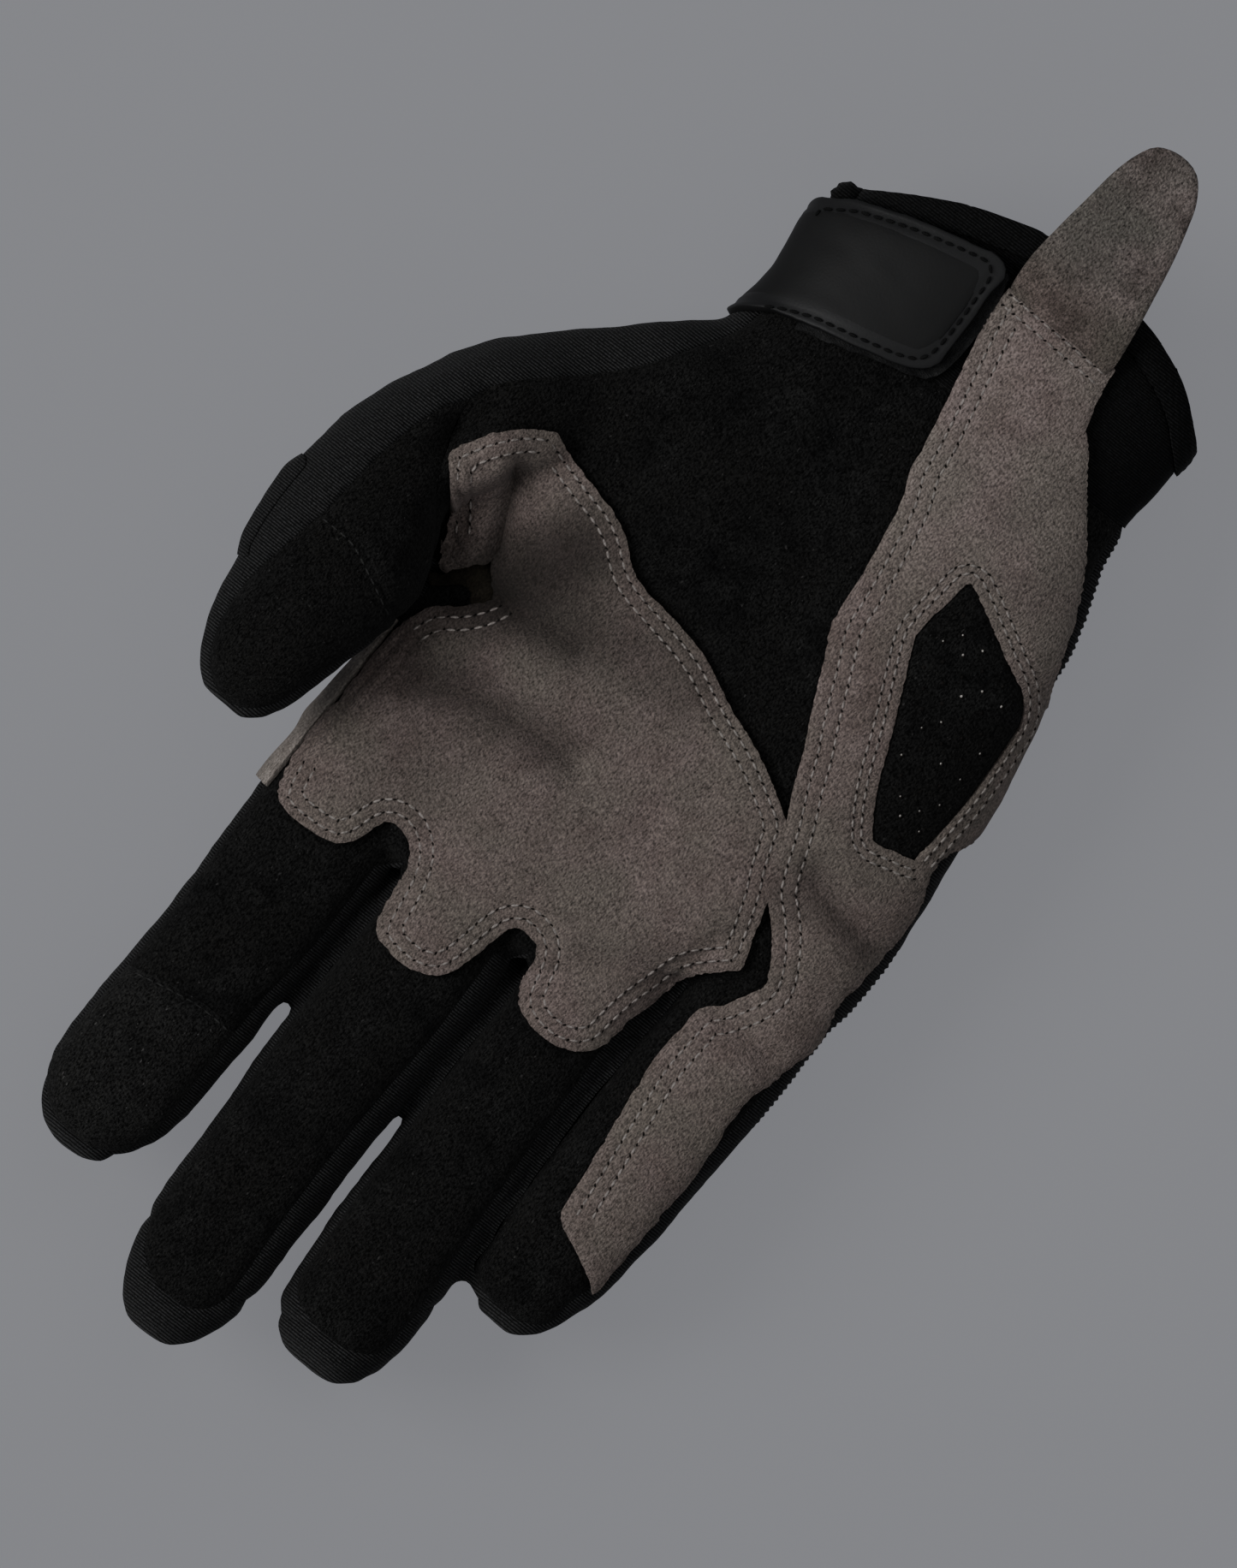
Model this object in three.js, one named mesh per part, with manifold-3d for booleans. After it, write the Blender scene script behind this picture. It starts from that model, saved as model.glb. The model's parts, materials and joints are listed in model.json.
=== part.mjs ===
// A right-hand riding glove, lying on its back with the palm up, at its real size.
// Lengths are in millimetres. X runs across the hand towards the thumb, Y from the cuff to
// the fingertips, and Z up out of the palm. The origin is on the ground, at the middle of
// the glove's outline. The glove is a hollow skin of sewn panels with the room of a hand in
// it, and suede reinforcements, a pull tab and a wrist strap lie on that skin.
import * as THREE from "three";
import { mergeVertices } from "three/addons/utils/BufferGeometryUtils.js";
import Module from "manifold-3d";

const wasm = await Module();
wasm.setup();

// Driving dimensions of the hand form
const PALM_LENGTH = 137; // cuff seam to the web between the middle and ring fingers
const PALM_DEPTH = 32; // back of the hand to the palm face
const WRIST_WIDTH = 71;
const WRIST_DEPTH = 31;
const CUFF_LENGTH = 13; // cuff seam to the cuff's edge, at its middle
const CUFF_SWEEP = 10; // how far the cuff's edge runs back at its sides
const FINGER_GAP = 1.2; // between neighbouring fingers at their roots
const FINGER_HEIGHT = 15; // middle of the fingers above the ground, at their roots
const FINGER_LIFT = 6; // how much higher the longest fingertip lies
const THUMB_WIDTH = 27;
const THUMB_DEPTH = 24.5;
const THUMB_HEIGHT = 34; // middle of the thumb's tip above the ground
const THUMB_TIP = 14.5; // length of the thumb's rounded end

// Driving dimensions of the sewn pieces
const WALL = 1.6; // suede and knit panels
const GAP = 0.35; // between pieces that are sewn together
const PATCH = 1.3; // suede reinforcements
const HEM_WIDTH = 5.2;
const HEM_RISE = 0.9; // how far the hem stands proud of the cuff
const CUFF_BAND = 16; // cuff seam to the cuff band's upper edge
const LOOP_PAD = 1; // the pad that the strap closes on
const STRAP = 1.7;
const STRAP_FACE = 0.7; // the rubber face on the strap
const STRAP_BORDER = 2.8;
const TAB = 1.8;
const TAB_LENGTH = 34.5;
const TAB_DROOP = 3;
const HOLE = 0.9; // perforations of the heel pad, across
const HOLE_PITCH = 6.4;

// The fingers, from the thumb's side. Width, depth and length are of the finger; root is
// where it leaves the palm, as a share of the palm's length; lean is how far the tip lies
// to the thumb's side; thumbSide, farSide and tip are how far the palm face's seam lies in
// from the finger's outline.
const FINGERS = [
  { name: "index", width: 25, depth: 22.5, length: 72.5, root: 0.985, lean: 0.6, thumbSide: 1.6, farSide: 3, tip: 3 },
  { name: "middle", width: 25, depth: 23, length: 87, root: 1, lean: -0.6, thumbSide: 1.2, farSide: 4.6, tip: 7.6 },
  { name: "ring", width: 22.6, depth: 22, length: 77, root: 0.985, lean: -1.7, thumbSide: 3, farSide: 1.2, tip: 6.2 },
  { name: "little", width: 22.4, depth: 20.5, length: 66, root: 0.885, lean: 0.9, thumbSide: 1.8, farSide: 2, tip: 2.6 },
];
const INDEX_SEAM = 0.535; // seam of the index finger's tip pad, as a share of its length

// Width and depth of a finger along its length, as shares of its own sizes
const FINGER_SECTIONS = [
  { along: -0.3, width: 0.86, depth: 0.8 },
  { along: -0.08, width: 0.97, depth: 1 },
  { along: 0.2, width: 1, depth: 1.02 },
  { along: 0.55, width: 0.99, depth: 0.98 },
  { along: 0.83, width: 0.95, depth: 0.95 },
];
const TIP_STEPS = [0.4, 0.7, 0.88, 0.97]; // shares of the way round a fingertip
const TIP_POWER = 2.4;
const HAND_WIDTH = FINGERS.reduce((sum, f) => sum + f.width, 0) + (FINGERS.length - 1) * FINGER_GAP;

// Sections of the wrist: y as a share of the palm's length, left and right as shares of the
// wrist's width, and its depth as a share of the wrist's
const WRIST_SECTIONS = [
  { y: -0.2, left: -0.53, right: 0.46, depth: 1 },
  { y: -0.095, left: -0.53, right: 0.46, depth: 1 },
  { y: -0.02, left: -0.53, right: 0.465, depth: 0.99 },
  { y: 0.06, left: -0.525, right: 0.465, depth: 0.98 },
  { y: 0.14, left: -0.53, right: 0.465, depth: 0.99 },
];
// Sections of the palm: left and right as shares of the hand's width, lift of the back off
// the ground and height of the palm face as shares of the palm's depth
const PALM_SECTIONS = [
  { y: 0.21, left: -0.412, right: 0.37, lift: 0.09, height: 1.12 },
  { y: 0.28, left: -0.434, right: 0.435, lift: 0.03, height: 1.12 },
  { y: 0.35, left: -0.45, right: 0.505, lift: 0, height: 1.12 },
  { y: 0.42, left: -0.47, right: 0.56, lift: 0, height: 1.11 },
  { y: 0.49, left: -0.486, right: 0.59, lift: 0, height: 1.09 },
  { y: 0.56, left: -0.496, right: 0.592, lift: 0, height: 1.06 },
  { y: 0.62, left: -0.504, right: 0.57, lift: 0, height: 1.02 },
  { y: 0.68, left: -0.508, right: 0.53, lift: 0, height: 0.99 },
  { y: 0.74, left: -0.51, right: 0.498, lift: 0, height: 0.97 },
  { y: 0.81, left: -0.51, right: 0.497, lift: 0, height: 0.95 },
  { y: 0.88, left: -0.507, right: 0.502, lift: 0, height: 0.93 },
  { y: 0.94, left: -0.497, right: 0.502, lift: 0.03, height: 0.88 },
  { y: 0.98, left: -0.48, right: 0.487, lift: 0.12, height: 0.8 },
  { y: 1, left: -0.46, right: 0.465, lift: 0.26, height: 0.66 },
];
// Where the palm ends across the hand: x as a share of its width, y of the palm's length
const WEB_LINE = [
  { x: -0.52, y: 0.865 },
  { x: -0.27, y: 0.885 },
  { x: -0.04, y: 0.995 },
  { x: 0.24, y: 0.985 },
  { x: 0.52, y: 0.965 },
];
const WEB_START = 0.44; // share of the palm's length where its sections start to slant

// Middle line of the thumb: x as a share of the hand's width, y of the palm's length, z of
// the thumb's height, width and depth of the thumb's own
const THUMB_SECTIONS = [
  { x: 0.225, y: 0.335, z: 0.5, width: 1.38, depth: 1.2 },
  { x: 0.33, y: 0.395, z: 0.56, width: 1.38, depth: 1.2 },
  { x: 0.443, y: 0.458, z: 0.65, width: 1.28, depth: 1.2 },
  { x: 0.543, y: 0.515, z: 0.74, width: 1.15, depth: 1.16 },
  { x: 0.602, y: 0.566, z: 0.82, width: 1.06, depth: 1.1 },
  { x: 0.643, y: 0.624, z: 0.88, width: 0.98, depth: 1.04 },
  { x: 0.653, y: 0.693, z: 0.94, width: 1, depth: 1 },
  { x: 0.647, y: 0.766, z: 0.975, width: 0.99, depth: 0.98 },
  { x: 0.646, y: 0.825, z: 0.99, width: 0.92, depth: 0.94 },
  { x: 0.648, y: 0.87, z: 1, width: 0.83, depth: 0.86 },
];
const THUMB_POWER = 2.2;

// Folds and dents of the palm face, from one end to the other: x as a share of the hand's
// width, y of the palm's length, depth and reach of the palm's depth
const FOLDS = [
  { name: "hollow of the palm", x0: 0, y0: 0.42, x1: -0.03, y1: 0.82, depth: 0.075, reach: 0.65 },
  { name: "crease from the thumb's web", x0: 0.38, y0: 0.67, x1: 0.19, y1: 0.655, depth: 0.06, reach: 0.16 },
  { name: "fold beside the thumb", x0: 0.45, y0: 0.64, x1: 0.52, y1: 0.51, depth: 0.07, reach: 0.13 },
  { name: "dent of the thumb's ball", x0: 0.39, y0: 0.61, x1: 0.37, y1: 0.53, depth: 0.04, reach: 0.16 },
  { name: "crease over the heel", x0: -0.5, y0: 0.71, x1: -0.27, y1: 0.715, depth: 0.04, reach: 0.14 },
  { name: "crease under the little finger", x0: -0.5, y0: 0.88, x1: -0.34, y1: 0.865, depth: 0.05, reach: 0.13 },
];

const lerp = THREE.MathUtils.lerp;
const bend = (value, power) => Math.sign(value) * Math.abs(value) ** power;

// Value of a column at a place along a table whose rows stand in order
function along(rows, key, column, place) {
  if (place <= rows[0][key]) return rows[0][column];
  const next = rows.findIndex((row) => row[key] >= place);
  if (next < 0) return rows[rows.length - 1][column];
  const [a, b] = [rows[next - 1], rows[next]];
  return lerp(a[column], b[column], (place - a[key]) / (b[key] - a[key]));
}

// A closed solid from rings of points, each ring with as many points as the next
function loft(rings) {
  const count = rings[0].length;
  const points = rings.flat();
  const centres = [rings[0], rings[rings.length - 1]].map((ring) =>
    ring.reduce((sum, p) => sum.add(p), new THREE.Vector3()).divideScalar(count),
  );
  const [first, last] = [points.length, points.length + 1];
  const faces = [];
  for (let r = 0; r < rings.length - 1; r++)
    for (let i = 0; i < count; i++) {
      const [a, b] = [r * count + i, r * count + ((i + 1) % count)];
      faces.push(a, b, b + count, a, b + count, a + count);
    }
  const end = (rings.length - 1) * count;
  for (let i = 0; i < count; i++) {
    const j = (i + 1) % count;
    faces.push(first, j, i, last, end + i, end + j);
  }
  const geometry = new THREE.BufferGeometry().setFromPoints([...points, ...centres]);
  geometry.setIndex(faces);
  return solid(geometry);
}

// A closed geometry as a solid whose shared corners are merged
function solid(geometry) {
  const bare = new THREE.BufferGeometry().setAttribute("position", geometry.getAttribute("position"));
  if (geometry.index) bare.setIndex(geometry.index);
  const merged = mergeVertices(bare, 1e-4);
  const triVerts = new Uint32Array(merged.index.array);
  const made = new wasm.Manifold(
    new wasm.Mesh({ numProp: 3, vertProperties: merged.attributes.position.array, triVerts }),
  );
  if (made.volume() > 0) return made;
  for (let i = 0; i < triVerts.length; i += 3)
    [triVerts[i + 1], triVerts[i + 2]] = [triVerts[i + 2], triVerts[i + 1]];
  return new wasm.Manifold(
    new wasm.Mesh({ numProp: 3, vertProperties: merged.attributes.position.array, triVerts }),
  );
}

const join = (solids) => solids.reduce((sum, next) => sum.add(next));

// The largest body of a solid, without the crumbs that a cut can leave at a sharp corner
const main = (made) => made.decompose().sort((a, b) => b.volume() - a.volume())[0];

// Hand form: the outside of the skin, grown by a distance, or shrunk by a negative one
const ROUND_TOP = 2.5;
const ROUND_BACK = 3;
const MIDDLE = 0.48; // share of a section's depth where its sides stand upright
const PALM_SIDES = 26;
const FINGER_SIDES = 12;
const STACK = LOOP_PAD + STRAP + 3 * GAP; // the strap's layers, which lift the wrist
const FLAT = 0.09; // share of the depth that the back is pressed flat by

const webY = (x) => along(WEB_LINE, "x", "y", x / HAND_WIDTH);

function foldDepth(x, y) {
  const place = new THREE.Vector2(x, y);
  return FOLDS.reduce((sum, fold) => {
    const from = new THREE.Vector2(fold.x0 * HAND_WIDTH, fold.y0 * PALM_LENGTH);
    const run = new THREE.Vector2(fold.x1 * HAND_WIDTH, fold.y1 * PALM_LENGTH).sub(from);
    const share = THREE.MathUtils.clamp(place.clone().sub(from).dot(run) / run.lengthSq(), 0, 1);
    const far = place.distanceTo(from.addScaledVector(run, share)) / (fold.reach * PALM_DEPTH);
    return sum + fold.depth * PALM_DEPTH * Math.exp(-far * far);
  }, 0);
}

function palmForm(grow) {
  const wrist = WRIST_SECTIONS.map((s) => ({
    y: s.y,
    left: s.left * WRIST_WIDTH,
    right: s.right * WRIST_WIDTH,
    low: STACK,
    high: STACK + s.depth * WRIST_DEPTH,
  }));
  const palm = PALM_SECTIONS.map((s) => ({
    y: s.y,
    left: s.left * HAND_WIDTH,
    right: s.right * HAND_WIDTH,
    low: s.lift * PALM_DEPTH - (s.lift ? 0 : FLAT * PALM_DEPTH),
    high: s.height * PALM_DEPTH,
  }));
  const rows = [...wrist, ...palm];
  return loft(
    rows.map((row, r) => {
      const [centre, half] = [(row.left + row.right) / 2, (row.right - row.left) / 2 + grow];
      const middle = lerp(Math.max(row.low, 0), row.high, MIDDLE);
      const end = r === rows.length - 1 ? grow : r === 0 ? -grow : 0;
      return Array.from({ length: PALM_SIDES }, (_, i) => {
        const angle = (2 * Math.PI * (i + 0.5)) / PALM_SIDES;
        const [across, up] = [Math.cos(angle), Math.sin(angle)];
        const x = centre + half * bend(across, 2 / ROUND_TOP);
        const slant = Math.max(0, (row.y - WEB_START) / (1 - WEB_START));
        const y = PALM_LENGTH * (row.y + slant * (webY(x) - 1)) + end;
        if (up > 0) {
          const sunk = foldDepth(x, y) * up;
          return new THREE.Vector3(x, y, middle + (row.high - middle + grow) * bend(up, 2 / ROUND_TOP) - sunk);
        }
        const z = middle + (middle - row.low + grow) * bend(up, 2 / ROUND_BACK);
        return new THREE.Vector3(x, y, Math.max(z, -grow));
      });
    }),
  );
}

// A ring round a point, square to a direction that lies level
function ring(centre, direction, halfWidth, halfDepth) {
  const side = new THREE.Vector3(direction.y, -direction.x, 0).normalize();
  return Array.from({ length: FINGER_SIDES }, (_, i) => {
    const angle = (2 * Math.PI * (i + 0.5)) / FINGER_SIDES;
    return centre
      .clone()
      .addScaledVector(side, halfWidth * bend(Math.cos(angle), 2 / ROUND_TOP))
      .setZ(centre.z + halfDepth * bend(Math.sin(angle), 2 / ROUND_TOP));
  });
}

// Rings of a rounded end that starts with a ring and reaches a length further on
function roundEnd(start, direction, reach, halfWidth, halfDepth, power) {
  return TIP_STEPS.map((share) => {
    const narrow = (1 - share ** power) ** (1 / power);
    return ring(start.clone().addScaledVector(direction, reach * share), direction, halfWidth * narrow, halfDepth * narrow);
  });
}

// Where each finger stands: the middle of its root and of its tip
let edge = HAND_WIDTH / 2;
for (const finger of FINGERS) {
  finger.x = edge - finger.width / 2;
  finger.y = finger.root * PALM_LENGTH;
  edge -= finger.width + FINGER_GAP;
}
const LONGEST = Math.max(...FINGERS.map((f) => f.y + f.length));
const fingerX = (finger, y) => finger.x + (finger.lean * Math.max(0, y - finger.y)) / finger.length;
function fingerZ(y) {
  const share = Math.max(0, (y - 0.88 * PALM_LENGTH) / (LONGEST - 0.88 * PALM_LENGTH));
  return FINGER_HEIGHT + FINGER_LIFT * share * share;
}

function fingerForm(finger, grow) {
  const forward = new THREE.Vector3(0, 1, 0);
  const last = FINGER_SECTIONS[FINGER_SECTIONS.length - 1];
  const rings = FINGER_SECTIONS.map((s) => {
    const y = finger.y + s.along * finger.length;
    const centre = new THREE.Vector3(fingerX(finger, y), y, fingerZ(y));
    return ring(centre, forward, (s.width * finger.width) / 2 + grow, (s.depth * finger.depth) / 2 + grow);
  });
  const y = finger.y + last.along * finger.length;
  const tipY = finger.y + finger.length;
  const start = new THREE.Vector3(fingerX(finger, y), y, fingerZ(y));
  const towards = new THREE.Vector3(fingerX(finger, tipY), tipY, fingerZ(tipY)).sub(start).normalize();
  const reach = finger.length * (1 - last.along) + grow;
  const [w, d] = [(last.width * finger.width) / 2 + grow, (last.depth * finger.depth) / 2 + grow];
  return loft([...rings, ...roundEnd(start, towards, reach, w, d, TIP_POWER)]);
}

const thumbPlace = (s) =>
  new THREE.Vector3(s.x * HAND_WIDTH, s.y * PALM_LENGTH, s.z * THUMB_HEIGHT);

function thumbForm(grow) {
  const places = THUMB_SECTIONS.map(thumbPlace);
  const rings = THUMB_SECTIONS.map((s, i) => {
    const before = places[Math.max(0, i - 1)];
    const after = places[Math.min(places.length - 1, i + 1)];
    const direction = after.clone().sub(before);
    return ring(places[i], direction, (s.width * THUMB_WIDTH) / 2 + grow, (s.depth * THUMB_DEPTH) / 2 + grow);
  });
  const last = THUMB_SECTIONS[THUMB_SECTIONS.length - 1];
  const [w, d] = [(last.width * THUMB_WIDTH) / 2 + grow, (last.depth * THUMB_DEPTH) / 2 + grow];
  const forward = new THREE.Vector3(0, 1, 0);
  const end = roundEnd(places[places.length - 1], forward, THUMB_TIP + grow, w, d, THUMB_POWER);
  return loft([...rings, ...end]);
}

const forms = new Map();
function hand(grow) {
  const key = grow.toFixed(3);
  if (!forms.has(key))
    forms.set(key, join([palmForm(grow), ...FINGERS.map((f) => fingerForm(f, grow)), thumbForm(grow)]));
  return forms.get(key);
}

// Outlines seen from above. A corner is [x, y, radius]; its round is cut into short steps.
// A distance moves the outline out, or in where it is negative.
const ROUND_STEP = Math.PI / 5;
function outline(corners, grow = 0) {
  const places = grown(corners.map(([x, y]) => new THREE.Vector2(x, y)), grow);
  return corners.flatMap(([, , radius = 0], i) => {
    const here = places[i];
    if (!radius) return [here];
    const back = places[(i + corners.length - 1) % corners.length].clone().sub(here);
    const on = places[(i + 1) % corners.length].clone().sub(here);
    const room = 0.45 * Math.min(back.length(), on.length());
    const open = Math.acos(THREE.MathUtils.clamp(back.clone().normalize().dot(on.clone().normalize()), -1, 1));
    const reach = Math.min(radius / Math.tan(open / 2), room);
    const [from, to] = [back.setLength(reach).add(here), on.setLength(reach).add(here)];
    const steps = Math.max(1, Math.round((Math.PI - open) / ROUND_STEP));
    return new THREE.QuadraticBezierCurve(from, here, to).getPoints(steps);
  });
}

// An outline moved out by a distance, or in by a negative one
function grown(points, distance) {
  if (!distance) return points;
  const out = THREE.ShapeUtils.area(points) > 0 ? distance : -distance;
  return points.map((p, i) => {
    const before = points[(i + points.length - 1) % points.length];
    const after = points[(i + 1) % points.length];
    const a = p.clone().sub(before).normalize();
    const b = after.clone().sub(p).normalize();
    const normal = new THREE.Vector2(a.y + b.y, -a.x - b.x).normalize();
    const stretch = Math.max(0.5, normal.dot(new THREE.Vector2(a.y, -a.x)));
    return p.clone().addScaledVector(normal, out / stretch);
  });
}

const HIGH = 4 * PALM_DEPTH; // above everything
const LOW = -PALM_DEPTH; // below everything

// The space straight above and below an outline
function prism(points, low = LOW, high = HIGH) {
  const shape = new THREE.ExtrudeGeometry(new THREE.Shape(points), { depth: high - low, bevelEnabled: false });
  return solid(shape.translate(0, 0, low));
}

// The space above a line that is drawn from the side, with y and z, across the whole hand
function above(line) {
  const shape = new THREE.Shape([
    ...line.map(([y, z]) => new THREE.Vector2(y, z)),
    new THREE.Vector2(line[line.length - 1][0], HIGH),
    new THREE.Vector2(line[0][0], HIGH),
  ]);
  const wide = 3 * HAND_WIDTH;
  const cut = new THREE.ExtrudeGeometry(shape, { depth: wide, bevelEnabled: false }).translate(0, 0, -wide / 2);
  const axes = [new THREE.Vector3(0, 1, 0), new THREE.Vector3(0, 0, 1), new THREE.Vector3(1, 0, 0)];
  return solid(cut.applyMatrix4(new THREE.Matrix4().makeBasis(...axes)));
}

const box = (x0, x1, y0, y1, low = LOW, high = HIGH) =>
  prism([[x0, y0], [x1, y0], [x1, y1], [x0, y1]].map(([x, y]) => new THREE.Vector2(x, y)), low, high);

const W = (share) => share * HAND_WIDTH;
const L = (share) => share * PALM_LENGTH;
const FAR = 2 * PALM_LENGTH; // past the fingertips
const NEAR = -PALM_LENGTH; // past the cuff

// Heights of the side seams: where the palm face meets the back of the hand
const PALM_SEAM = 0.44; // share of the palm's depth
const FACE_SEAM = 0.31; // share of a finger's depth above its middle
const BACK_SEAM = 0.37; // share of a finger's depth below its middle
const FACE_DEPTH = FINGERS[1].depth;
const fingerLine = (share) => [0.95, 1.05, 1.2, 1.4, 1.6, 1.8].map((y) => [L(y), fingerZ(L(y)) + share * FACE_DEPTH]);
const palmLine = (drop) =>
  [[NEAR, PALM_SEAM * PALM_DEPTH], [L(0.8), PALM_SEAM * PALM_DEPTH], ...fingerLine(FACE_SEAM)].map(([y, z]) => [y, z - drop]);
const thumbLine = (drop) =>
  THUMB_SECTIONS.slice(3).map((s) => [s.y * PALM_LENGTH, s.z * THUMB_HEIGHT - drop]).concat([[L(1.1), THUMB_HEIGHT - drop]]);

// The palm face's outline without the fingers: left edge, web, and right edge to the cuff
const THUMB_VALLEY = [
  [W(0.495), L(0.738)], [W(0.487), L(0.705), 3], [W(0.515), L(0.655), 6], [W(0.54), L(0.62), 6],
  [W(0.583), L(0.58), 3], [W(0.607), L(0.52), 8], [W(0.618), L(0.467)],
];
const PALM_FACE = [
  [-0.54 * WRIST_WIDTH, L(0.05)], [W(-0.402), L(0.219)], [W(-0.443), L(0.328)], [W(-0.475), L(0.438)],
  [W(-0.486), L(0.585)], [W(-0.486), L(0.8)], [W(-0.482), L(0.9)], [W(-0.24), L(0.92)], [W(-0.05), L(1)],
  [W(0.01), L(0.98)], [W(0.22), L(0.995)], [W(0.26), L(0.985)], [W(0.45), L(1)], [W(0.486), L(0.985)],
  [W(0.478), L(0.85)], ...THUMB_VALLEY,
  [W(0.561), L(0.42)], [W(0.5), L(0.376)], [W(0.45), L(0.336)], [W(0.4), L(0.296)], [W(0.358), L(0.248)],
  [W(0.34), L(0.2)], [0.5 * WRIST_WIDTH, L(0.05)],
];
const THUMB_FACE = [
  ...THUMB_VALLEY.slice(1), [W(0.628), L(0.464)], [W(0.647), L(0.511), 6], [W(0.677), L(0.569), 8],
  [W(0.698), L(0.635), 8], [W(0.703), L(0.708), 8], [W(0.718), L(0.788), 8], [W(0.732), L(0.876), 4],
  [W(0.715), L(0.927), 3], [W(0.66), L(0.952), 4], [W(0.58), L(0.95), 3], [W(0.5), L(0.93)], [W(0.46), L(0.75)],
];

// The palm face of one finger, seen from above
const FACE_STEPS = 5;
function fingerFace(finger) {
  const [left, right] = [finger.farSide - finger.width / 2, finger.width / 2 - finger.thumbSide];
  const tip = finger.y + finger.length - finger.tip;
  const round = Math.min(0.42 * finger.width, right - left);
  const middle = (left + right) / 2;
  const base = [finger.y - 0.1 * finger.length, tip - round];
  const end = Array.from({ length: FACE_STEPS + 1 }, (_, i) => {
    const angle = (Math.PI * i) / FACE_STEPS;
    const across = bend(Math.cos(angle), 2 / TIP_POWER);
    return [middle + ((right - left) / 2) * across, tip - round + round * bend(Math.sin(angle), 2 / TIP_POWER)];
  });
  return [[right, base[0]], ...end, [left, base[0]]].map(
    ([x, y]) => new THREE.Vector2(fingerX(finger, y) + x, y),
  );
}

// Cuff: everything beyond the swept edge is cut away, and the hem follows that edge
const WRIST_MIDDLE = -0.035 * WRIST_WIDTH;
const EDGE_STEPS = 8;
function cuffEdge(offset) {
  return Array.from({ length: EDGE_STEPS + 1 }, (_, i) => {
    const share = (2 * i) / EDGE_STEPS - 1;
    const x = WRIST_MIDDLE + share * 0.62 * WRIST_WIDTH;
    return new THREE.Vector2(x, offset - CUFF_LENGTH + CUFF_SWEEP * 1.3 * share * share);
  });
}
const beyond = (offset) =>
  prism([...cuffEdge(offset), new THREE.Vector2(W(1), NEAR), new THREE.Vector2(W(-1), NEAR)]);

// The skin, cut piece by piece. What is left at the end is the back of the glove.
const beyondCuff = beyond(0);
let rest = hand(0).subtract(hand(-WALL)).subtract(beyondCuff);
function cut(region) {
  const piece = main(rest.intersect(region(0)));
  rest = rest.subtract(region(GAP));
  return piece;
}

const pieces = {};
pieces.cuff_hem = main(
  hand(HEM_RISE).subtract(hand(-WALL)).subtract(beyondCuff).intersect(beyond(HEM_WIDTH)),
);
rest = rest.subtract(beyond(HEM_WIDTH + GAP));
pieces.cuff_band = cut((grow) => box(W(-1), W(1), NEAR, CUFF_BAND + grow));

const [index, middle, ringFinger, little] = FINGERS;
const seamY = index.y + INDEX_SEAM * index.length;
const palmCut = (grow) => above(palmLine(grow));
pieces.index_tip_pad = cut((grow) =>
  prism(grown(fingerFace(index), grow)).intersect(box(W(-1), W(1), seamY - grow, FAR)).intersect(palmCut(grow)),
);
const thumbSeam = L(0.72);
const thumbCut = (grow) => prism(outline(THUMB_FACE, grow)).intersect(above(thumbLine(grow)));
pieces.thumb_tip_pad = cut((grow) => thumbCut(grow).intersect(box(W(0), W(1), thumbSeam - grow, FAR)));
pieces.thumb_panel = cut(thumbCut);
pieces.palm_panel = cut((grow) =>
  join([prism(outline(PALM_FACE, grow)), ...FINGERS.map((f) => prism(grown(fingerFace(f), grow)))]).intersect(
    palmCut(grow),
  ),
);

// Side walls between two fingers, from the axis of one to the axis of the next
const WALL_END = 0.35; // share of a finger's width from its tip to the side wall's end
const WALL_START = 0.12; // share of the palm's length below the roots
function between(a, b, grow) {
  const start = Math.min(a.y, b.y) - L(WALL_START);
  const corners = [
    [fingerX(a, start), start],
    [fingerX(a, LONGEST), a.y + a.length - WALL_END * a.width],
    [fingerX(b, LONGEST), b.y + b.length - WALL_END * b.width],
    [fingerX(b, start), start],
  ].map(([x, y]) => new THREE.Vector2(x, y));
  const low = above([[NEAR, fingerZ(0) - BACK_SEAM * FACE_DEPTH], ...fingerLine(-BACK_SEAM)].map(([y, z]) => [y, z - grow]));
  return prism(grown(corners, grow)).intersect(low);
}
pieces.side_wall_index_middle = cut((grow) => between(index, middle, grow));
pieces.side_wall_middle_ring = cut((grow) => between(middle, ringFinger, grow));
pieces.side_wall_ring_little = cut((grow) => between(ringFinger, little, grow));
pieces.back_panel = main(rest);

// Reinforcements and straps: sheets that follow the hand form inside an outline
const sheet = (under, thickness) => hand(under + thickness).subtract(hand(under));
const upper = above(palmLine(0));

// Palm reinforcement, with a lobe on each of three fingers and a slit at the thumb's web
const PALM_PATCH = [
  [W(-0.33), L(0.837), 1.2], [W(-0.295), L(0.77), 8], [W(-0.234), L(0.661), 2], [W(-0.118), L(0.615), 20],
  [W(0.054), L(0.557), 20], [W(0.217), L(0.537), 12], [W(0.328), L(0.488), 16], [W(0.476), L(0.459), 1.5],
  [W(0.546), L(0.508), 12], [W(0.588), L(0.566), 1.2], [W(0.52), L(0.635), 8], [W(0.487), L(0.69), 1],
  [W(0.43), L(0.668), 2], [W(0.381), L(0.669), 1], [W(0.476), L(0.75), 4], [W(0.476), L(0.84), 8],
  [W(0.489), L(0.93), 10], [W(0.486), L(0.975), 6], [W(0.463), L(1.021), 2.4], [W(0.331), L(1.02), 3.4],
  [W(0.306), L(0.95), 3], [W(0.247), L(0.947), 4], [W(0.209), L(0.985), 3], [W(0.2), L(1.077), 2.4],
  [W(0.068), L(1.077), 4.6], [W(0.046), L(1.007), 4], [W(0.035), L(0.953), 3], [W(-0.041), L(0.953), 3.4],
  [W(-0.069), L(1.043), 4.6], [W(-0.207), L(1.043), 5], [W(-0.232), L(0.934), 8], [W(-0.262), L(0.873), 1.5],
];
pieces.palm_patch = main(sheet(GAP, PATCH).intersect(prism(outline(PALM_PATCH))).intersect(upper));

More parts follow.
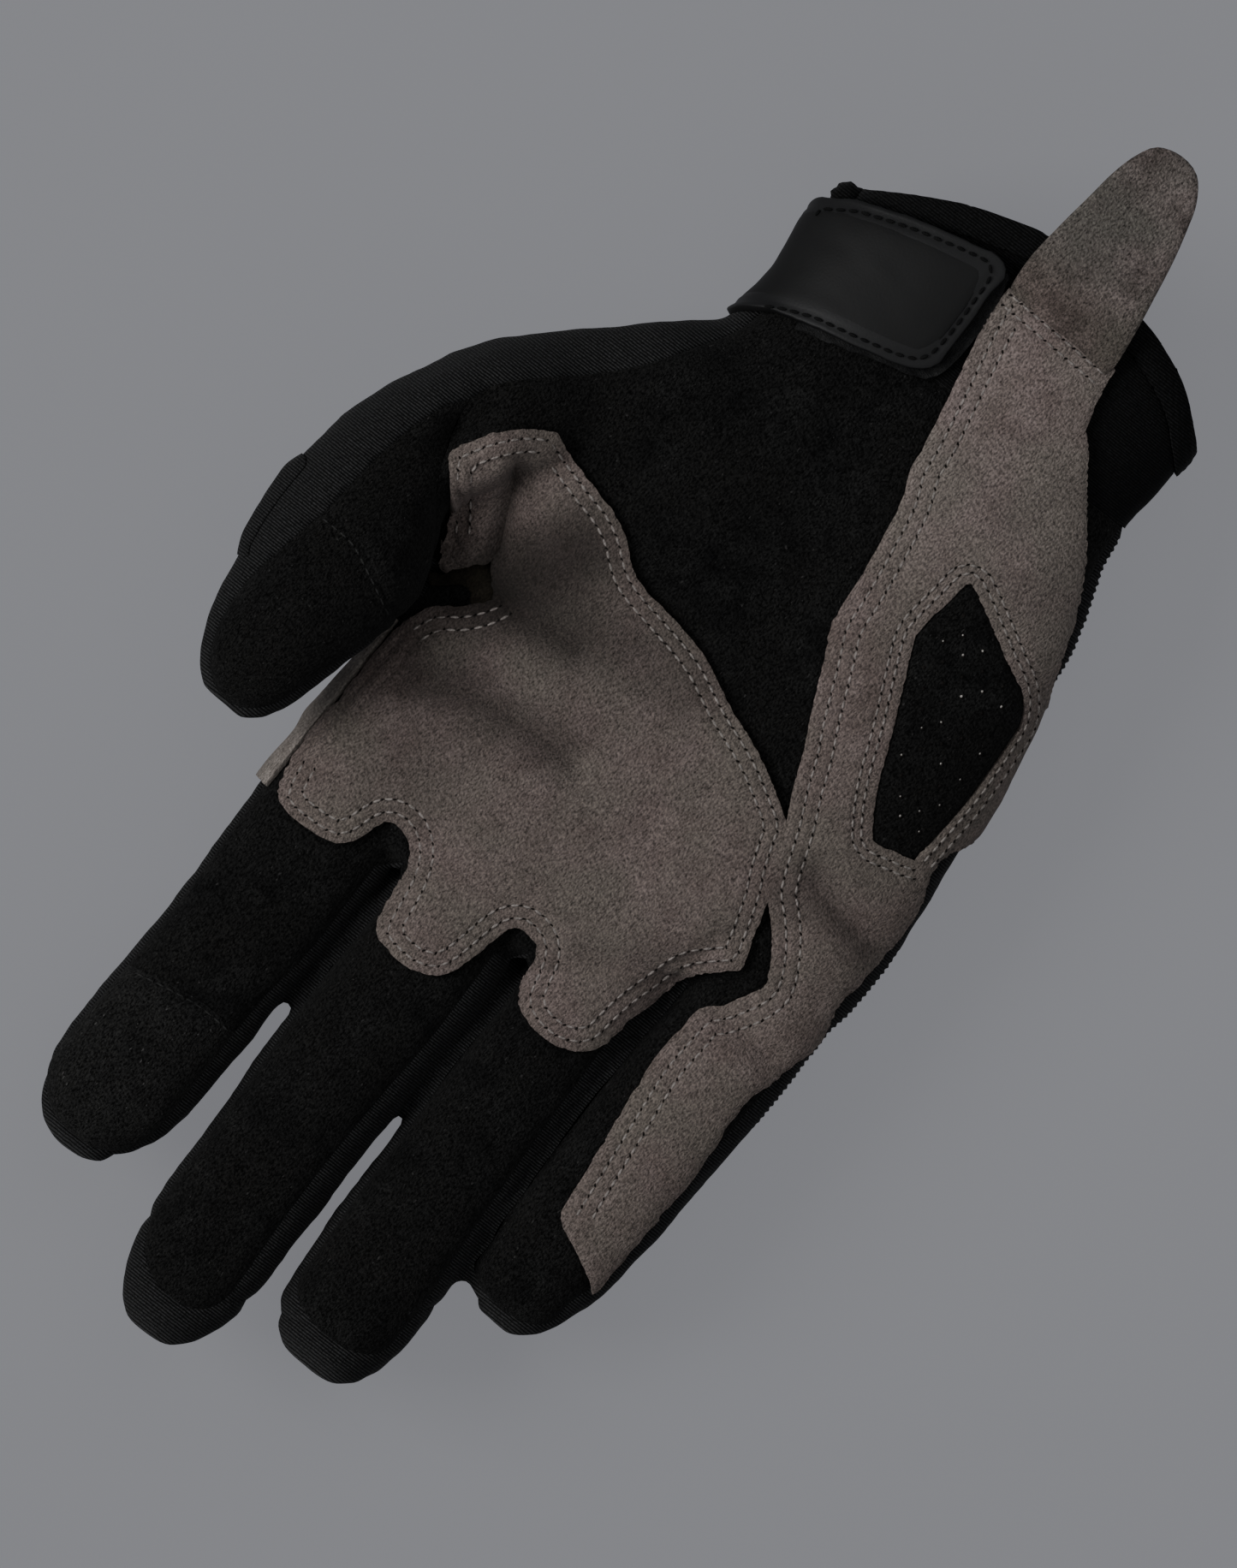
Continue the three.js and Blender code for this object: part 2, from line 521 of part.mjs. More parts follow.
// Side reinforcement, from the cuff over the heel of the hand and up the little finger
const onLittle = (share) => little.y + share * little.length;
const SIDE_PATCH = [
  [W(0.024), -3], [W(-0.005), L(0.102), 20], [W(-0.033), L(0.215), 6], [W(-0.076), L(0.325), 20],
  [W(-0.09), L(0.433), 1.5], [W(-0.238), L(0.664), 10], [W(-0.278), L(0.736), 8], [W(-0.36), L(0.8), 10],
  [W(-0.384), L(0.842), 2.5], [W(-0.323), L(0.899), 2.5], [W(-0.311), onLittle(0.19), 20],
  [W(-0.347), onLittle(0.66), 1.2], [W(-0.463), onLittle(0.77), 0.8], [W(-0.478), onLittle(0.46), 20],
  [W(-0.463), onLittle(0.18), 12], [W(-0.503), L(0.858), 5], [W(-0.484), L(0.788), 4], [W(-0.504), L(0.72), 8],
  [W(-0.485), L(0.6), 4], [W(-0.52), L(0.53), 8], [W(-0.52), L(0.45)], [W(-0.462), L(0.36), 16],
  [W(-0.425), L(0.274), 20], [W(-0.346), L(0.182), 20], [W(-0.216), L(0.064), 1.5], [W(-0.198), -3],
];
const WINDOW = [
  [W(-0.445), L(0.605), 0.8], [W(-0.366), L(0.617), 0.8], [W(-0.21), L(0.376), 2], [W(-0.223), L(0.289), 1],
  [W(-0.26), L(0.292), 3], [W(-0.428), L(0.372), 4], [W(-0.452), L(0.438), 8],
];
const windowLine = outline(WINDOW);
pieces.side_patch = main(
  sheet(GAP, PATCH).intersect(prism(outline(SIDE_PATCH))).subtract(prism(windowLine)).intersect(upper),
);

// Heel pad in the window, pierced with rows of small holes
const holes = [];
const HOLE_SIDES = 6;
const HOLE_MARGIN = 1.6;
const padLine = outline(WINDOW, -GAP);
const holeLimit = outline(WINDOW, -GAP - HOLE_MARGIN);
const inside = (points, x, y) =>
  points.reduce((hit, p, i) => {
    const q = points[(i + points.length - 1) % points.length];
    const crosses = p.y > y !== q.y > y && x < ((q.x - p.x) * (y - p.y)) / (q.y - p.y) + p.x;
    return crosses ? !hit : hit;
  }, false);
for (let row = 0; L(0.28) + row * HOLE_PITCH * 0.5 < L(0.63); row++)
  for (let column = 0; column * HOLE_PITCH < W(0.3); column++) {
    const x = W(-0.46) + (column + (row % 2) / 2) * HOLE_PITCH;
    const y = L(0.28) + row * HOLE_PITCH * 0.5;
    if (!inside(holeLimit, x, y)) continue;
    const hole = new THREE.CylinderGeometry(HOLE / 2, HOLE / 2, HIGH, HOLE_SIDES);
    holes.push(solid(hole.rotateX(Math.PI / 2).translate(x, y, HIGH / 2 + PALM_SEAM * PALM_DEPTH)));
  }
pieces.heel_pad = main(
  sheet(GAP, PATCH).intersect(prism(padLine)).intersect(upper).subtract(join(holes)),
);

// Suede on the hand's edge beside the index finger, and the guard on the thumb's knuckle
pieces.index_edge_patch = main(
  sheet(GAP, PATCH)
    .intersect(box(W(0.49), W(0.6), L(0.775), L(1.02)))
    .intersect(above([[NEAR, 0.22 * PALM_DEPTH], [FAR, 0.22 * PALM_DEPTH]]))
    .subtract(above([[NEAR, 0.72 * PALM_DEPTH], [FAR, 0.72 * PALM_DEPTH]])),
);
pieces.thumb_knuckle_patch = main(
  sheet(GAP, PATCH)
    .intersect(box(W(0.74), W(0.9), L(0.67), L(0.81)))
    .intersect(above([[NEAR, THUMB_HEIGHT - 0.36 * THUMB_DEPTH], [FAR, THUMB_HEIGHT - 0.36 * THUMB_DEPTH]])),
);

// Pull tab: a stiff double layer that runs on from the side patch, out over the cuff's edge
const TAB_START = -3 - GAP;
const wristTop = STACK + WRIST_DEPTH;
const tabBase = wristTop + HEM_RISE + GAP;
const TAB_OUTLINE = [
  [W(0.024), TAB_START], [W(0.026), -0.3 * TAB_LENGTH, 30], [W(0.005), -0.9 * TAB_LENGTH, 14],
  [W(-0.012), -TAB_LENGTH - 3.2, 7], [W(-0.107), -TAB_LENGTH - 3.2, 7], [W(-0.15), -0.86 * TAB_LENGTH, 14],
  [W(-0.19), -0.3 * TAB_LENGTH, 30], [W(-0.2), TAB_START],
];
const tabLine = (lift) => [
  [-2 * TAB_LENGTH, tabBase - TAB_DROOP * 1.8 + lift], [-TAB_LENGTH, tabBase - TAB_DROOP + lift],
  [-CUFF_LENGTH - 3, tabBase + lift], [TAB_LENGTH, tabBase + lift],
];
pieces.pull_tab = prism(outline(TAB_OUTLINE)).intersect(above(tabLine(0))).subtract(above(tabLine(TAB)));

// Wrist strap: it starts on the back of the cuff, turns round the thumb's side and closes on
// the loop pad, and carries a rubber face inside a border
const V = (share) => share * WRIST_WIDTH;
const LOOP_OUTLINE = [
  [V(0.043), -2.4, 2], [V(0.03), 6, 8], [V(0.028), 13, 4], [V(0.06), 18.6, 3], [V(0.36), 25.6],
  [V(0.36), 3], [V(0.14), -3.6, 4],
];
const STRAP_OUTLINE = [
  [V(0.057), -5.6, 3], [V(0.174), -4.6, 8], [V(0.343), -0.8, 20], [V(0.526), 6.8], [V(0.62), 10],
  [V(0.62), 31], [V(0.5), 29.6, 8], [V(0.42), 25.8, 12], [V(0.23), 21.2, 20], [V(0.084), 18.8, 3.5],
];
const halfway = STACK + 0.5 * WRIST_DEPTH;
const strapLine = outline(STRAP_OUTLINE);
const upperWrist = above([[NEAR, halfway], [FAR, halfway]]);
const upperStrap = (points) => prism(points).intersect(upperWrist);
pieces.loop_pad = main(sheet(GAP, LOOP_PAD).intersect(upperStrap(outline(LOOP_OUTLINE))));
const strapUnder = LOOP_PAD + 2 * GAP;
const strapBack = prism(strapLine).intersect(box(V(0.22), V(1), NEAR, FAR));
pieces.wrist_strap = main(sheet(strapUnder, STRAP).intersect(upperStrap(strapLine).add(strapBack)));
pieces.strap_face = main(
  sheet(strapUnder + STRAP + GAP, STRAP_FACE).intersect(upperStrap(outline(STRAP_OUTLINE, -STRAP_BORDER))),
);

// Finishes
const suede = { color: 0x141414, roughness: 0.95, metalness: 0 };
const tan = { color: 0x6b605b, roughness: 0.95, metalness: 0 };
const knit = { color: 0x1c1c1c, roughness: 0.9, metalness: 0 };
const FINISH = {
  palm_panel: suede, thumb_panel: suede, index_tip_pad: suede, thumb_tip_pad: suede, heel_pad: suede,
  palm_patch: tan, side_patch: tan, index_edge_patch: tan,
  pull_tab: { color: 0x5f5551, roughness: 0.95, metalness: 0 },
  cuff_hem: { color: 0x161616, roughness: 0.85, metalness: 0 },
  wrist_strap: { color: 0x2a2a2a, roughness: 0.55, metalness: 0 },
  strap_face: { color: 0x202020, roughness: 0.45, metalness: 0 },
};

const glove = new THREE.Group();
for (const [name, made] of Object.entries(pieces)) {
  const { vertProperties, triVerts, numProp } = made.getMesh();
  const corners = [];
  for (const vertex of triVerts) corners.push(...vertProperties.subarray(vertex * numProp, vertex * numProp + 3));
  const geometry = new THREE.BufferGeometry();
  geometry.setAttribute("position", new THREE.Float32BufferAttribute(corners, 3));
  geometry.computeVertexNormals();
  const mesh = new THREE.Mesh(geometry, new THREE.MeshStandardMaterial(FINISH[name] ?? knit));
  mesh.name = name;
  glove.add(mesh);
}

// The origin goes to the ground, at the middle of the outline
const bounds = new THREE.Box3().setFromObject(glove);
const centre = bounds.getCenter(new THREE.Vector3());
glove.position.set(-centre.x, -centre.y, -bounds.min.z);

export default glove;
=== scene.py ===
# A right-hand riding glove that lies on its back with the palm up. The sewing plan is drawn
# in millimetres, seen from above, with X towards the thumb and Y towards the fingertips.
import bpy
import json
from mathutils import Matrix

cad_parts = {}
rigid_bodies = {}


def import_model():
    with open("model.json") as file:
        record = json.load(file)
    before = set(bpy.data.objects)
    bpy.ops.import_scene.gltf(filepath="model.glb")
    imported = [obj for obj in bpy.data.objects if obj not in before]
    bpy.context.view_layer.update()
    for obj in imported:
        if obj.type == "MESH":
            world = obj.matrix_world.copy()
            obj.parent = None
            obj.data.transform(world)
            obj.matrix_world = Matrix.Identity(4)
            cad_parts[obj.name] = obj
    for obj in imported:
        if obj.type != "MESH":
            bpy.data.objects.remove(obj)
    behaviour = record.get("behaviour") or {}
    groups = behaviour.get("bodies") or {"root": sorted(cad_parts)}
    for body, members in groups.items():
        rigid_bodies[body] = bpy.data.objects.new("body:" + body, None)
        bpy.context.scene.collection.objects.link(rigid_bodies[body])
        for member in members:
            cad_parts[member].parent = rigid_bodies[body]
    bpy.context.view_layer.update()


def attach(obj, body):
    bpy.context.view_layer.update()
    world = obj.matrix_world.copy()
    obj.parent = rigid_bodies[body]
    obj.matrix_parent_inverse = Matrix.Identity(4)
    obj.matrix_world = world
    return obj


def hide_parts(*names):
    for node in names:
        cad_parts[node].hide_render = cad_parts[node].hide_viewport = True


for thing in list(bpy.data.objects):
    bpy.data.objects.remove(thing)
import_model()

import json
import math
import bmesh
import numpy as np
from mathutils import Matrix, Vector, noise
from mathutils.bvhtree import BVHTree
from mathutils.kdtree import KDTree

# The hand's room. The skin of the glove keeps the shape of a hand in it: a palm, four
# fingers and a thumb, blended into one closed form that every panel is cut from.
PLAN = Matrix.Translation((-0.018315, -0.0929, 0)) @ Matrix.Diagonal((0.001, 0.001, 0.001, 1))
WEB = [(-51, 118), (-30, 119), (-19, 123), (-2, 136.5), (4, 136.5), (25, 137), (32, 136), (56, 132)]
FINGERS = {
    "index": (22.4, [(112, 30, 51), (124, 28.4, 53), (135, 27.6, 54), (146, 27.4, 53.7), (156, 27.3, 53.3),
              (168, 28.8, 53.2), (180, 28.9, 53.5), (190, 28.9, 54.1), (196, 30.3, 53.4), (200, 32.2, 52.2),
              (203, 34.2, 50.4), (205.4, 36, 47.6), (206.8, 38.8, 44.6)]),
    "middle": (23.2, [(112, 4, 24), (124, 2, 25.7), (135, 1.6, 26), (146, 1.3, 26), (156, 1.1, 26.4), (166, 1.7, 26.2),
               (176, 2.1, 25.7), (186, 2.2, 25.5), (196, 1.9, 25.2), (206, 1.3, 24.7), (212, 1.6, 23.7),
               (217, 3.6, 21.7), (220.4, 5.6, 19.4), (222.8, 8.4, 16.4)]),
    "ring": (22, [(100, -19, 0), (112, -20, 1), (124, -20.8, 0.4), (135, -21, 0.2), (146, -21.3, 0), (156, -21.6, 0.2),
             (168, -22.2, -0.2), (180, -23, -0.2), (190, -23.9, -0.7), (198, -23.7, -1), (204, -22.3, -1.5),
             (208, -20.4, -3.4), (210.6, -17.2, -7.2)]),
    "little": (20.6, [(98, -45, -26), (110, -46.4, -25), (122, -46.8, -22.4), (134, -46.5, -21.6), (146, -45.9, -21.5),
               (158, -45.4, -21.7), (168, -44.8, -22), (174, -43.6, -22.5), (179, -41.6, -23.2),
               (183, -38.9, -24.5), (186, -35.8, -28.3)]),
}
THUMB = [  # y, left, right, middle height, half depth
    (40, 30, 50, 18, 8), (46, 31, 58.5, 18, 10.5), (50, 33, 62.4, 18.5, 11.8), (56, 38, 68.8, 20, 13),
    (62, 43, 72.8, 22, 14), (68, 49, 75.2, 24, 14.2), (74, 54, 77.8, 26, 14), (80, 57, 79.8, 28, 13.5), (86, 56.3, 80.8, 30, 13),
    (92, 53.4, 81.4, 31.4, 12.8), (98, 51.4, 81.6, 32.4, 12.4), (104, 51.6, 81.2, 33, 12.2),
    (110, 53.2, 80.2, 33.6, 12), (116, 54.8, 79.2, 34, 11.6), (122, 56.6, 77.8, 34, 10.8),
    (126.5, 58.2, 75.9, 34, 9.4), (129.8, 60, 73.6, 34, 7.4), (132.2, 62.6, 71, 34, 5),
]
PALM = [  # y, left, right, low, high
    (-17, -33.5, 34, 3.8, 34.8), (-8, -34, 34.6, 3.8, 34.8), (0, -34.6, 35.4, 3.8, 34.6), (8, -34.4, 36.4, 3.8, 34.4),
    (16, -34, 37, 3.6, 34.6), (24, -35, 37.6, 3, 35.2), (31, -37.6, 40.4, 1.8, 35.8), (38, -39.8, 48.8, 0.6, 36),
    (46, -40.5, 57.5, -2, 35.9), (56, -42, 63, -3, 35.8), (66, -44.2, 63, -3, 35.2), (76, -45.2, 65.5, -3, 34.2),
    (86, -46.1, 61.5, -3, 33), (95, -46.6, 54.5, -3, 32), (104, -47, 53.4, -3, 31.4), (113, -47.3, 53.7, -3, 30.8),
    (122, -47.2, 54, -2.5, 30), (129, -46.4, 54.2, 1, 28.4), (134, -44.5, 52.5, 4, 25.8), (137.2, -42, 50, 8, 21.5),
]


def bend(value, power):
    return math.copysign(abs(value) ** (2 / power), value)


def between(rows, place, column=1):
    return float(np.interp(place, [r[0] for r in rows], [r[column] for r in rows]))


def lofted(bm, rows, sides, shape=lambda co: co):
    """Rings through rows of y, left, right, low and high, bridged into a closed form."""
    last = None
    for y, left, right, low, high in rows:
        ring = bmesh.ops.create_circle(bm, segments=sides, radius=1)["verts"]
        middle = max(low, 0) + 0.48 * (high - max(low, 0))
        for v in ring:
            across, up = v.co.x, v.co.y
            x = (left + right) / 2 + (right - left) / 2 * bend(across, 2.5)
            reach = high - middle if up > 0 else middle - low
            v.co = shape(Vector((x, y, middle + reach * bend(up, 2.5))))
        edges = list({e for v in ring for e in v.link_edges})
        if last is None:
            bmesh.ops.holes_fill(bm, edges=edges)
        else:
            bmesh.ops.bridge_loops(bm, edges=last + edges)
        last = edges
    bmesh.ops.holes_fill(bm, edges=last)


def finger_height(y):
    return 15 + 6 * max(0, (y - 120) / 104) ** 2


def slant(co):
    share = max(0, (co.y - 60) / 77)
    return Vector((co.x, co.y + share * (between(WEB, co.x) - 137.2) * min(1, share), max(co.z, 0)))


bm = bmesh.new()
lofted(bm, PALM, 72, slant)
for depth, rows in FINGERS.values():
    full = max(right - left for _, left, right in rows)
    reach = [(depth / 2) * ((right - left) / full) ** 0.85 for _, left, right in rows]
    lofted(bm, [(y, left, right, finger_height(y) - r, finger_height(y) + r)
                for (y, left, right), r in zip(rows, reach)], 48)
lofted(bm, [(y, left, right, middle - half, middle + half) for y, left, right, middle, half in THUMB], 48)
bmesh.ops.recalc_face_normals(bm, faces=bm.faces)


def made(name, bm):
    """A mesh object from a bmesh that is still in the plan's millimetres."""
    mesh = bpy.data.meshes.new(name)
    bm.to_mesh(mesh)
    bm.free()
    piece = bpy.data.objects.new(name, mesh)
    bpy.context.scene.collection.objects.link(piece)
    return piece


def with_modifiers(piece):
    """The piece's mesh with its modifiers applied."""
    graph = bpy.context.evaluated_depsgraph_get()
    mesh = bpy.data.meshes.new_from_object(piece.evaluated_get(graph), depsgraph=graph)
    piece.modifiers.clear()
    return mesh


hand = made("hand_room", bm)
remesh = hand.modifiers.new("even", "REMESH")
remesh.mode = "VOXEL"
remesh.voxel_size = 1.0
smooth = hand.modifiers.new("soften", "SMOOTH")
smooth.factor = 0.5
smooth.iterations = 6
hand.data = with_modifiers(hand)

# Folds and sewn seams. Suede and knit bulge between their seams and dip at them, and the
# thumb's bend throws the palm into folds. Every fold is a run of points with its own depth
# and half width, pressed into the hand's room before the panels are cut.


def distance(points, line):
    """Distance of each point to a run of plan points, and how far along it is."""
    best = np.full(len(points), 1e9)
    line = np.asarray(line, float)
    for a, b in zip(line[:-1], line[1:]):
        run = b - a
        share = np.clip(((points - a) @ run) / max(run @ run, 1e-9), 0, 1)
        best = np.minimum(best, np.hypot(*(points - a - share[:, None] * run).T))
    return best


def curve(points, closed=True, step=1.4):
    """A smooth line through points; a point given twice is a corner."""
    pts = [np.array(p, float) for p in points]
    n = len(pts)
    out = []
    for i in range(n if closed else n - 1):
        if closed:
            a, b, c, d = (pts[(i + k) % n] for k in (-1, 0, 1, 2))
        else:
            a, b, c, d = pts[max(i - 1, 0)], pts[i], pts[i + 1], pts[min(i + 2, n - 1)]
        length = np.hypot(*(c - b))
        if length < 1e-6:
            continue
        for s in np.arange(0, 1, 1 / max(1, math.ceil(length / step))):
            out.append(0.5 * ((2 * b) + (c - a) * s + (2 * a - 5 * b + 4 * c - d) * s**2
                              + (3 * b - a - 3 * c + d) * s**3))
    if not closed:
        out.append(pts[-1])
    return np.array(out)


FOLDS = [  # run, depth (a ridge is negative), half width
    ([(0, 58), (-3, 112)], 2.2, 20),
    ([(47.4, 85.5), (50.8, 76.6), (52.6, 71.6)], 3.4, 2.2),
    ([(50.8, 86), (54.6, 77), (56.4, 71.6)], -1.2, 2.4),
    ([(57.2, 81), (60, 76.6)], -0.6, 2.6),
    ([(53.6, 74.6), (57, 77.2)], -1.1, 2),
    ([(41, 91), (34, 90), (26, 89.4)], 2.6, 3.2),
    ([(45, 85), (34, 83), (20, 76), (8, 62)], 4.2, 11),
    ([(60, 64), (50, 52), (44, 44)], -3.2, 9),
    ([(46, 85), (42, 78), (38.3, 71.6)], 0.9, 2.8),
    ([(63.5, 71), (57, 65), (49, 61)], 1.7, 2.6),
    ([(70, 69), (63, 61), (57, 56)], -0.9, 3),
    ([(47, 82), (38, 84)], -0.8, 4),
    ([(44.5, 110), (35, 104.8), (15, 103.5)], 2.4, 3.4),
    ([(62.5, 66), (63.8, 71), (64, 75)], 2.4, 3),
    ([(-45, 97), (-30, 96)], 1.5, 3.2),
    ([(-46, 104), (-36, 104)], -0.5, 4),
    ([(-41, 122.6), (-31, 122)], 1.4, 2.6),
    ([(-45, 117), (-37, 118)], -0.6, 3),
    ([(-26, 108), (-23, 112), (-21, 122)], 1.2, 2.6),
    ([(-33, 10), (-26, 17), (-20, 26)], 0.7, 3.5),
    ([(56, 104), (60, 101), (66, 99), (73, 99)], 0.6, 2.2),
    ([(30, 172), (51, 174)], 0.5, 2.2),
    ([(29, 148), (51, 150)], 0.35, 4),
    ([(3, 178), (24, 176)], 0.4, 4),
    ([(3, 154), (24, 152)], 0.35, 4),
    ([(-21, 170), (-1, 168)], 0.35, 4),
    ([(28, 41), (10, 46), (-2, 60)], 0.7, 5),
    ([(56, 54), (44, 60), (30, 62)], 0.5, 5),
    ([(30, 50), (46, 72)], 0.5, 6),
]
count = len(hand.data.vertices)
spots = np.empty(count * 3)
hand.data.vertices.foreach_get("co", spots)
spots = spots.reshape(-1, 3)
facing = np.empty(count * 3)
hand.data.vertex_normals.foreach_get("vector", facing)
facing = facing.reshape(-1, 3)
move = np.zeros(count)
palm_side = np.clip(facing[:, 2] * 1.6, 0, 1)
for run, depth, half in FOLDS:
    move -= palm_side * depth * np.exp(-((distance(spots[:, :2], run) / half) ** 2))
drape = np.array([
    noise.noise(Vector(p) * 0.045) * 0.9 + noise.noise(Vector(p) * 0.13 + Vector((7, 3, 1))) * 0.35
    + noise.noise(Vector((p[0] * 0.16, p[1] * 0.5, p[2] * 0.3))) * 0.12
    for p in spots
])
rested = np.clip(spots[:, 2] / 4, 0, 1)
spots += facing * ((move + drape) * rested)[:, None]
spots[:, 2] = np.maximum(spots[:, 2], 0)
hand.data.vertices.foreach_set("co", spots.ravel())
hand.data.update()

# Black suede panels: the palm face with its finger faces, the two pieces of the thumb and
# the index finger's tip. Synthetic suede with a short nap, sewn to the knit at the sides.
black = bpy.data.materials.new("black_suede")
cut_edge = bpy.data.materials.new("cut_edge")
hand.data.materials.append(black)


def prism(points, low, high=90):
    """A closed block under a plan outline, to cut panels with."""
    bm = bmesh.new()
    face = bm.faces.new([bm.verts.new((x, y, low)) for x, y in points])
    top = bmesh.ops.extrude_face_region(bm, geom=[face])["geom"]
    bmesh.ops.translate(bm, vec=(0, 0, high - low), verts=[g for g in top if isinstance(g, bmesh.types.BMVert)])
    bmesh.ops.recalc_face_normals(bm, faces=bm.faces)
    block = made("cutter", bm)
    block.data.materials.append(cut_edge)
    return block


def cut(mesh, points, operation, low=-30, high=90):
    """The mesh cut by a block under an outline; faces of the cut carry the second material."""
    block = prism(points, low, high)
    holder = bpy.data.objects.new("holder", mesh)
    bpy.context.scene.collection.objects.link(holder)
    tool = holder.modifiers.new("cut", "BOOLEAN")
    tool.object = block
    tool.operation = operation
    tool.solver = "MANIFOLD"
    tool.material_mode = "TRANSFER"
    result = with_modifiers(holder)
    bpy.data.objects.remove(holder)
    bpy.data.objects.remove(block)
    return result


def sheet_of(mesh, keep="top", weld=0.12):
    """The skin of a cut form as one open sheet, without the faces of the cut."""
    bm = bmesh.new()
    bm.from_mesh(mesh)
    bmesh.ops.delete(bm, geom=[f for f in bm.faces if f.material_index], context="FACES")
    bmesh.ops.remove_doubles(bm, verts=bm.verts, dist=weld)
    bmesh.ops.dissolve_degenerate(bm, edges=bm.edges, dist=weld / 3)
    bm.verts.ensure_lookup_table()
    seen, parts = set(), []
    for start in bm.verts:
        if start in seen:
            continue
        stack, part = [start], []
        seen.add(start)
        while stack:
            v = stack.pop()
            part.append(v)
            for e in v.link_edges:
                other = e.other_vert(v)
                if other not in seen:
                    seen.add(other)
                    stack.append(other)
        parts.append(part)
    largest = max(len(p) for p in parts)
    for part in parts:
        if len(part) < largest * (0.5 if keep == "top" else 0.01):
            bmesh.ops.delete(bm, geom=part, context="VERTS")
    return bm


def ways_out(bm):
    """The way out of a sheet at each vertex, smoothed over its neighbours."""
    bm.normal_update()
    way = {v: v.normal.copy() for v in bm.verts}
    for _ in range(4):
        way = {v: (way[v] + sum((way[e.other_vert(v)] for e in v.link_edges), Vector())).normalized() for v in bm.verts}
    return way


def raised(bm, amount):
    """Moves a sheet out along its smoothed normals; amount may be a function of a vertex."""
    for v, way in ways_out(bm).items():
        v.co += way * (amount(v) if callable(amount) else amount)


def dressed(name, bm, material, body="root", wall=1.5, outward=False, rim=0.25):
    """The finished object: a sheet in metres, with its thickness and soft rims."""
    for f in bm.faces:
        f.smooth = True
        f.material_index = 0
    if wall:
        out = bm.verts.layers.float_vector.new("out")
        for v, way in ways_out(bm).items():
            v[out] = way
        walls = bmesh.ops.extrude_face_region(bm, geom=list(bm.faces) + list(bm.edges), use_keep_orig=True)["geom"]
        for v in walls:
            if isinstance(v, bmesh.types.BMVert):
                v.co += v[out] * (wall if outward else -wall)
        bm.verts.layers.float_vector.remove(out)
        bmesh.ops.recalc_face_normals(bm, faces=bm.faces)
    bmesh.ops.transform(bm, matrix=PLAN, verts=bm.verts)
    piece = made(name, bm)
    piece.data.materials.append(material)
    if rim:
        soft = piece.modifiers.new("rim", "BEVEL")
        soft.width = rim * 0.001
        soft.segments = 2
        soft.limit_method = "ANGLE"
        soft.angle_limit = math.radians(50)
    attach(piece, body)
    return piece


def area(bm):
    return sum(f.calc_area() for f in bm.faces) * 1e-6


def margin(bm):
    """How far a vertex is from the edge of its sheet."""
    edge = [v.co.copy() for v in bm.verts if v.is_boundary]
    tree = KDTree(len(edge))
    for i, co in enumerate(edge):
        tree.insert(co, i)
    tree.balance()
    return lambda v: tree.find(v.co)[2]


def seamed(bm, depth=0.5, reach=2.4):
    """Turns a sheet's edges down into their seams."""
    far = margin(bm)
    raised(bm, lambda v: -depth * max(0, 1 - far(v) / reach) ** 1.5)


def socket(group, name, way, kind="NodeSocketFloat", value=None):
    item = group.interface.new_socket(name=name, in_out=way, socket_type=kind)
    if value is not None:
        item.default_value = value
    return item


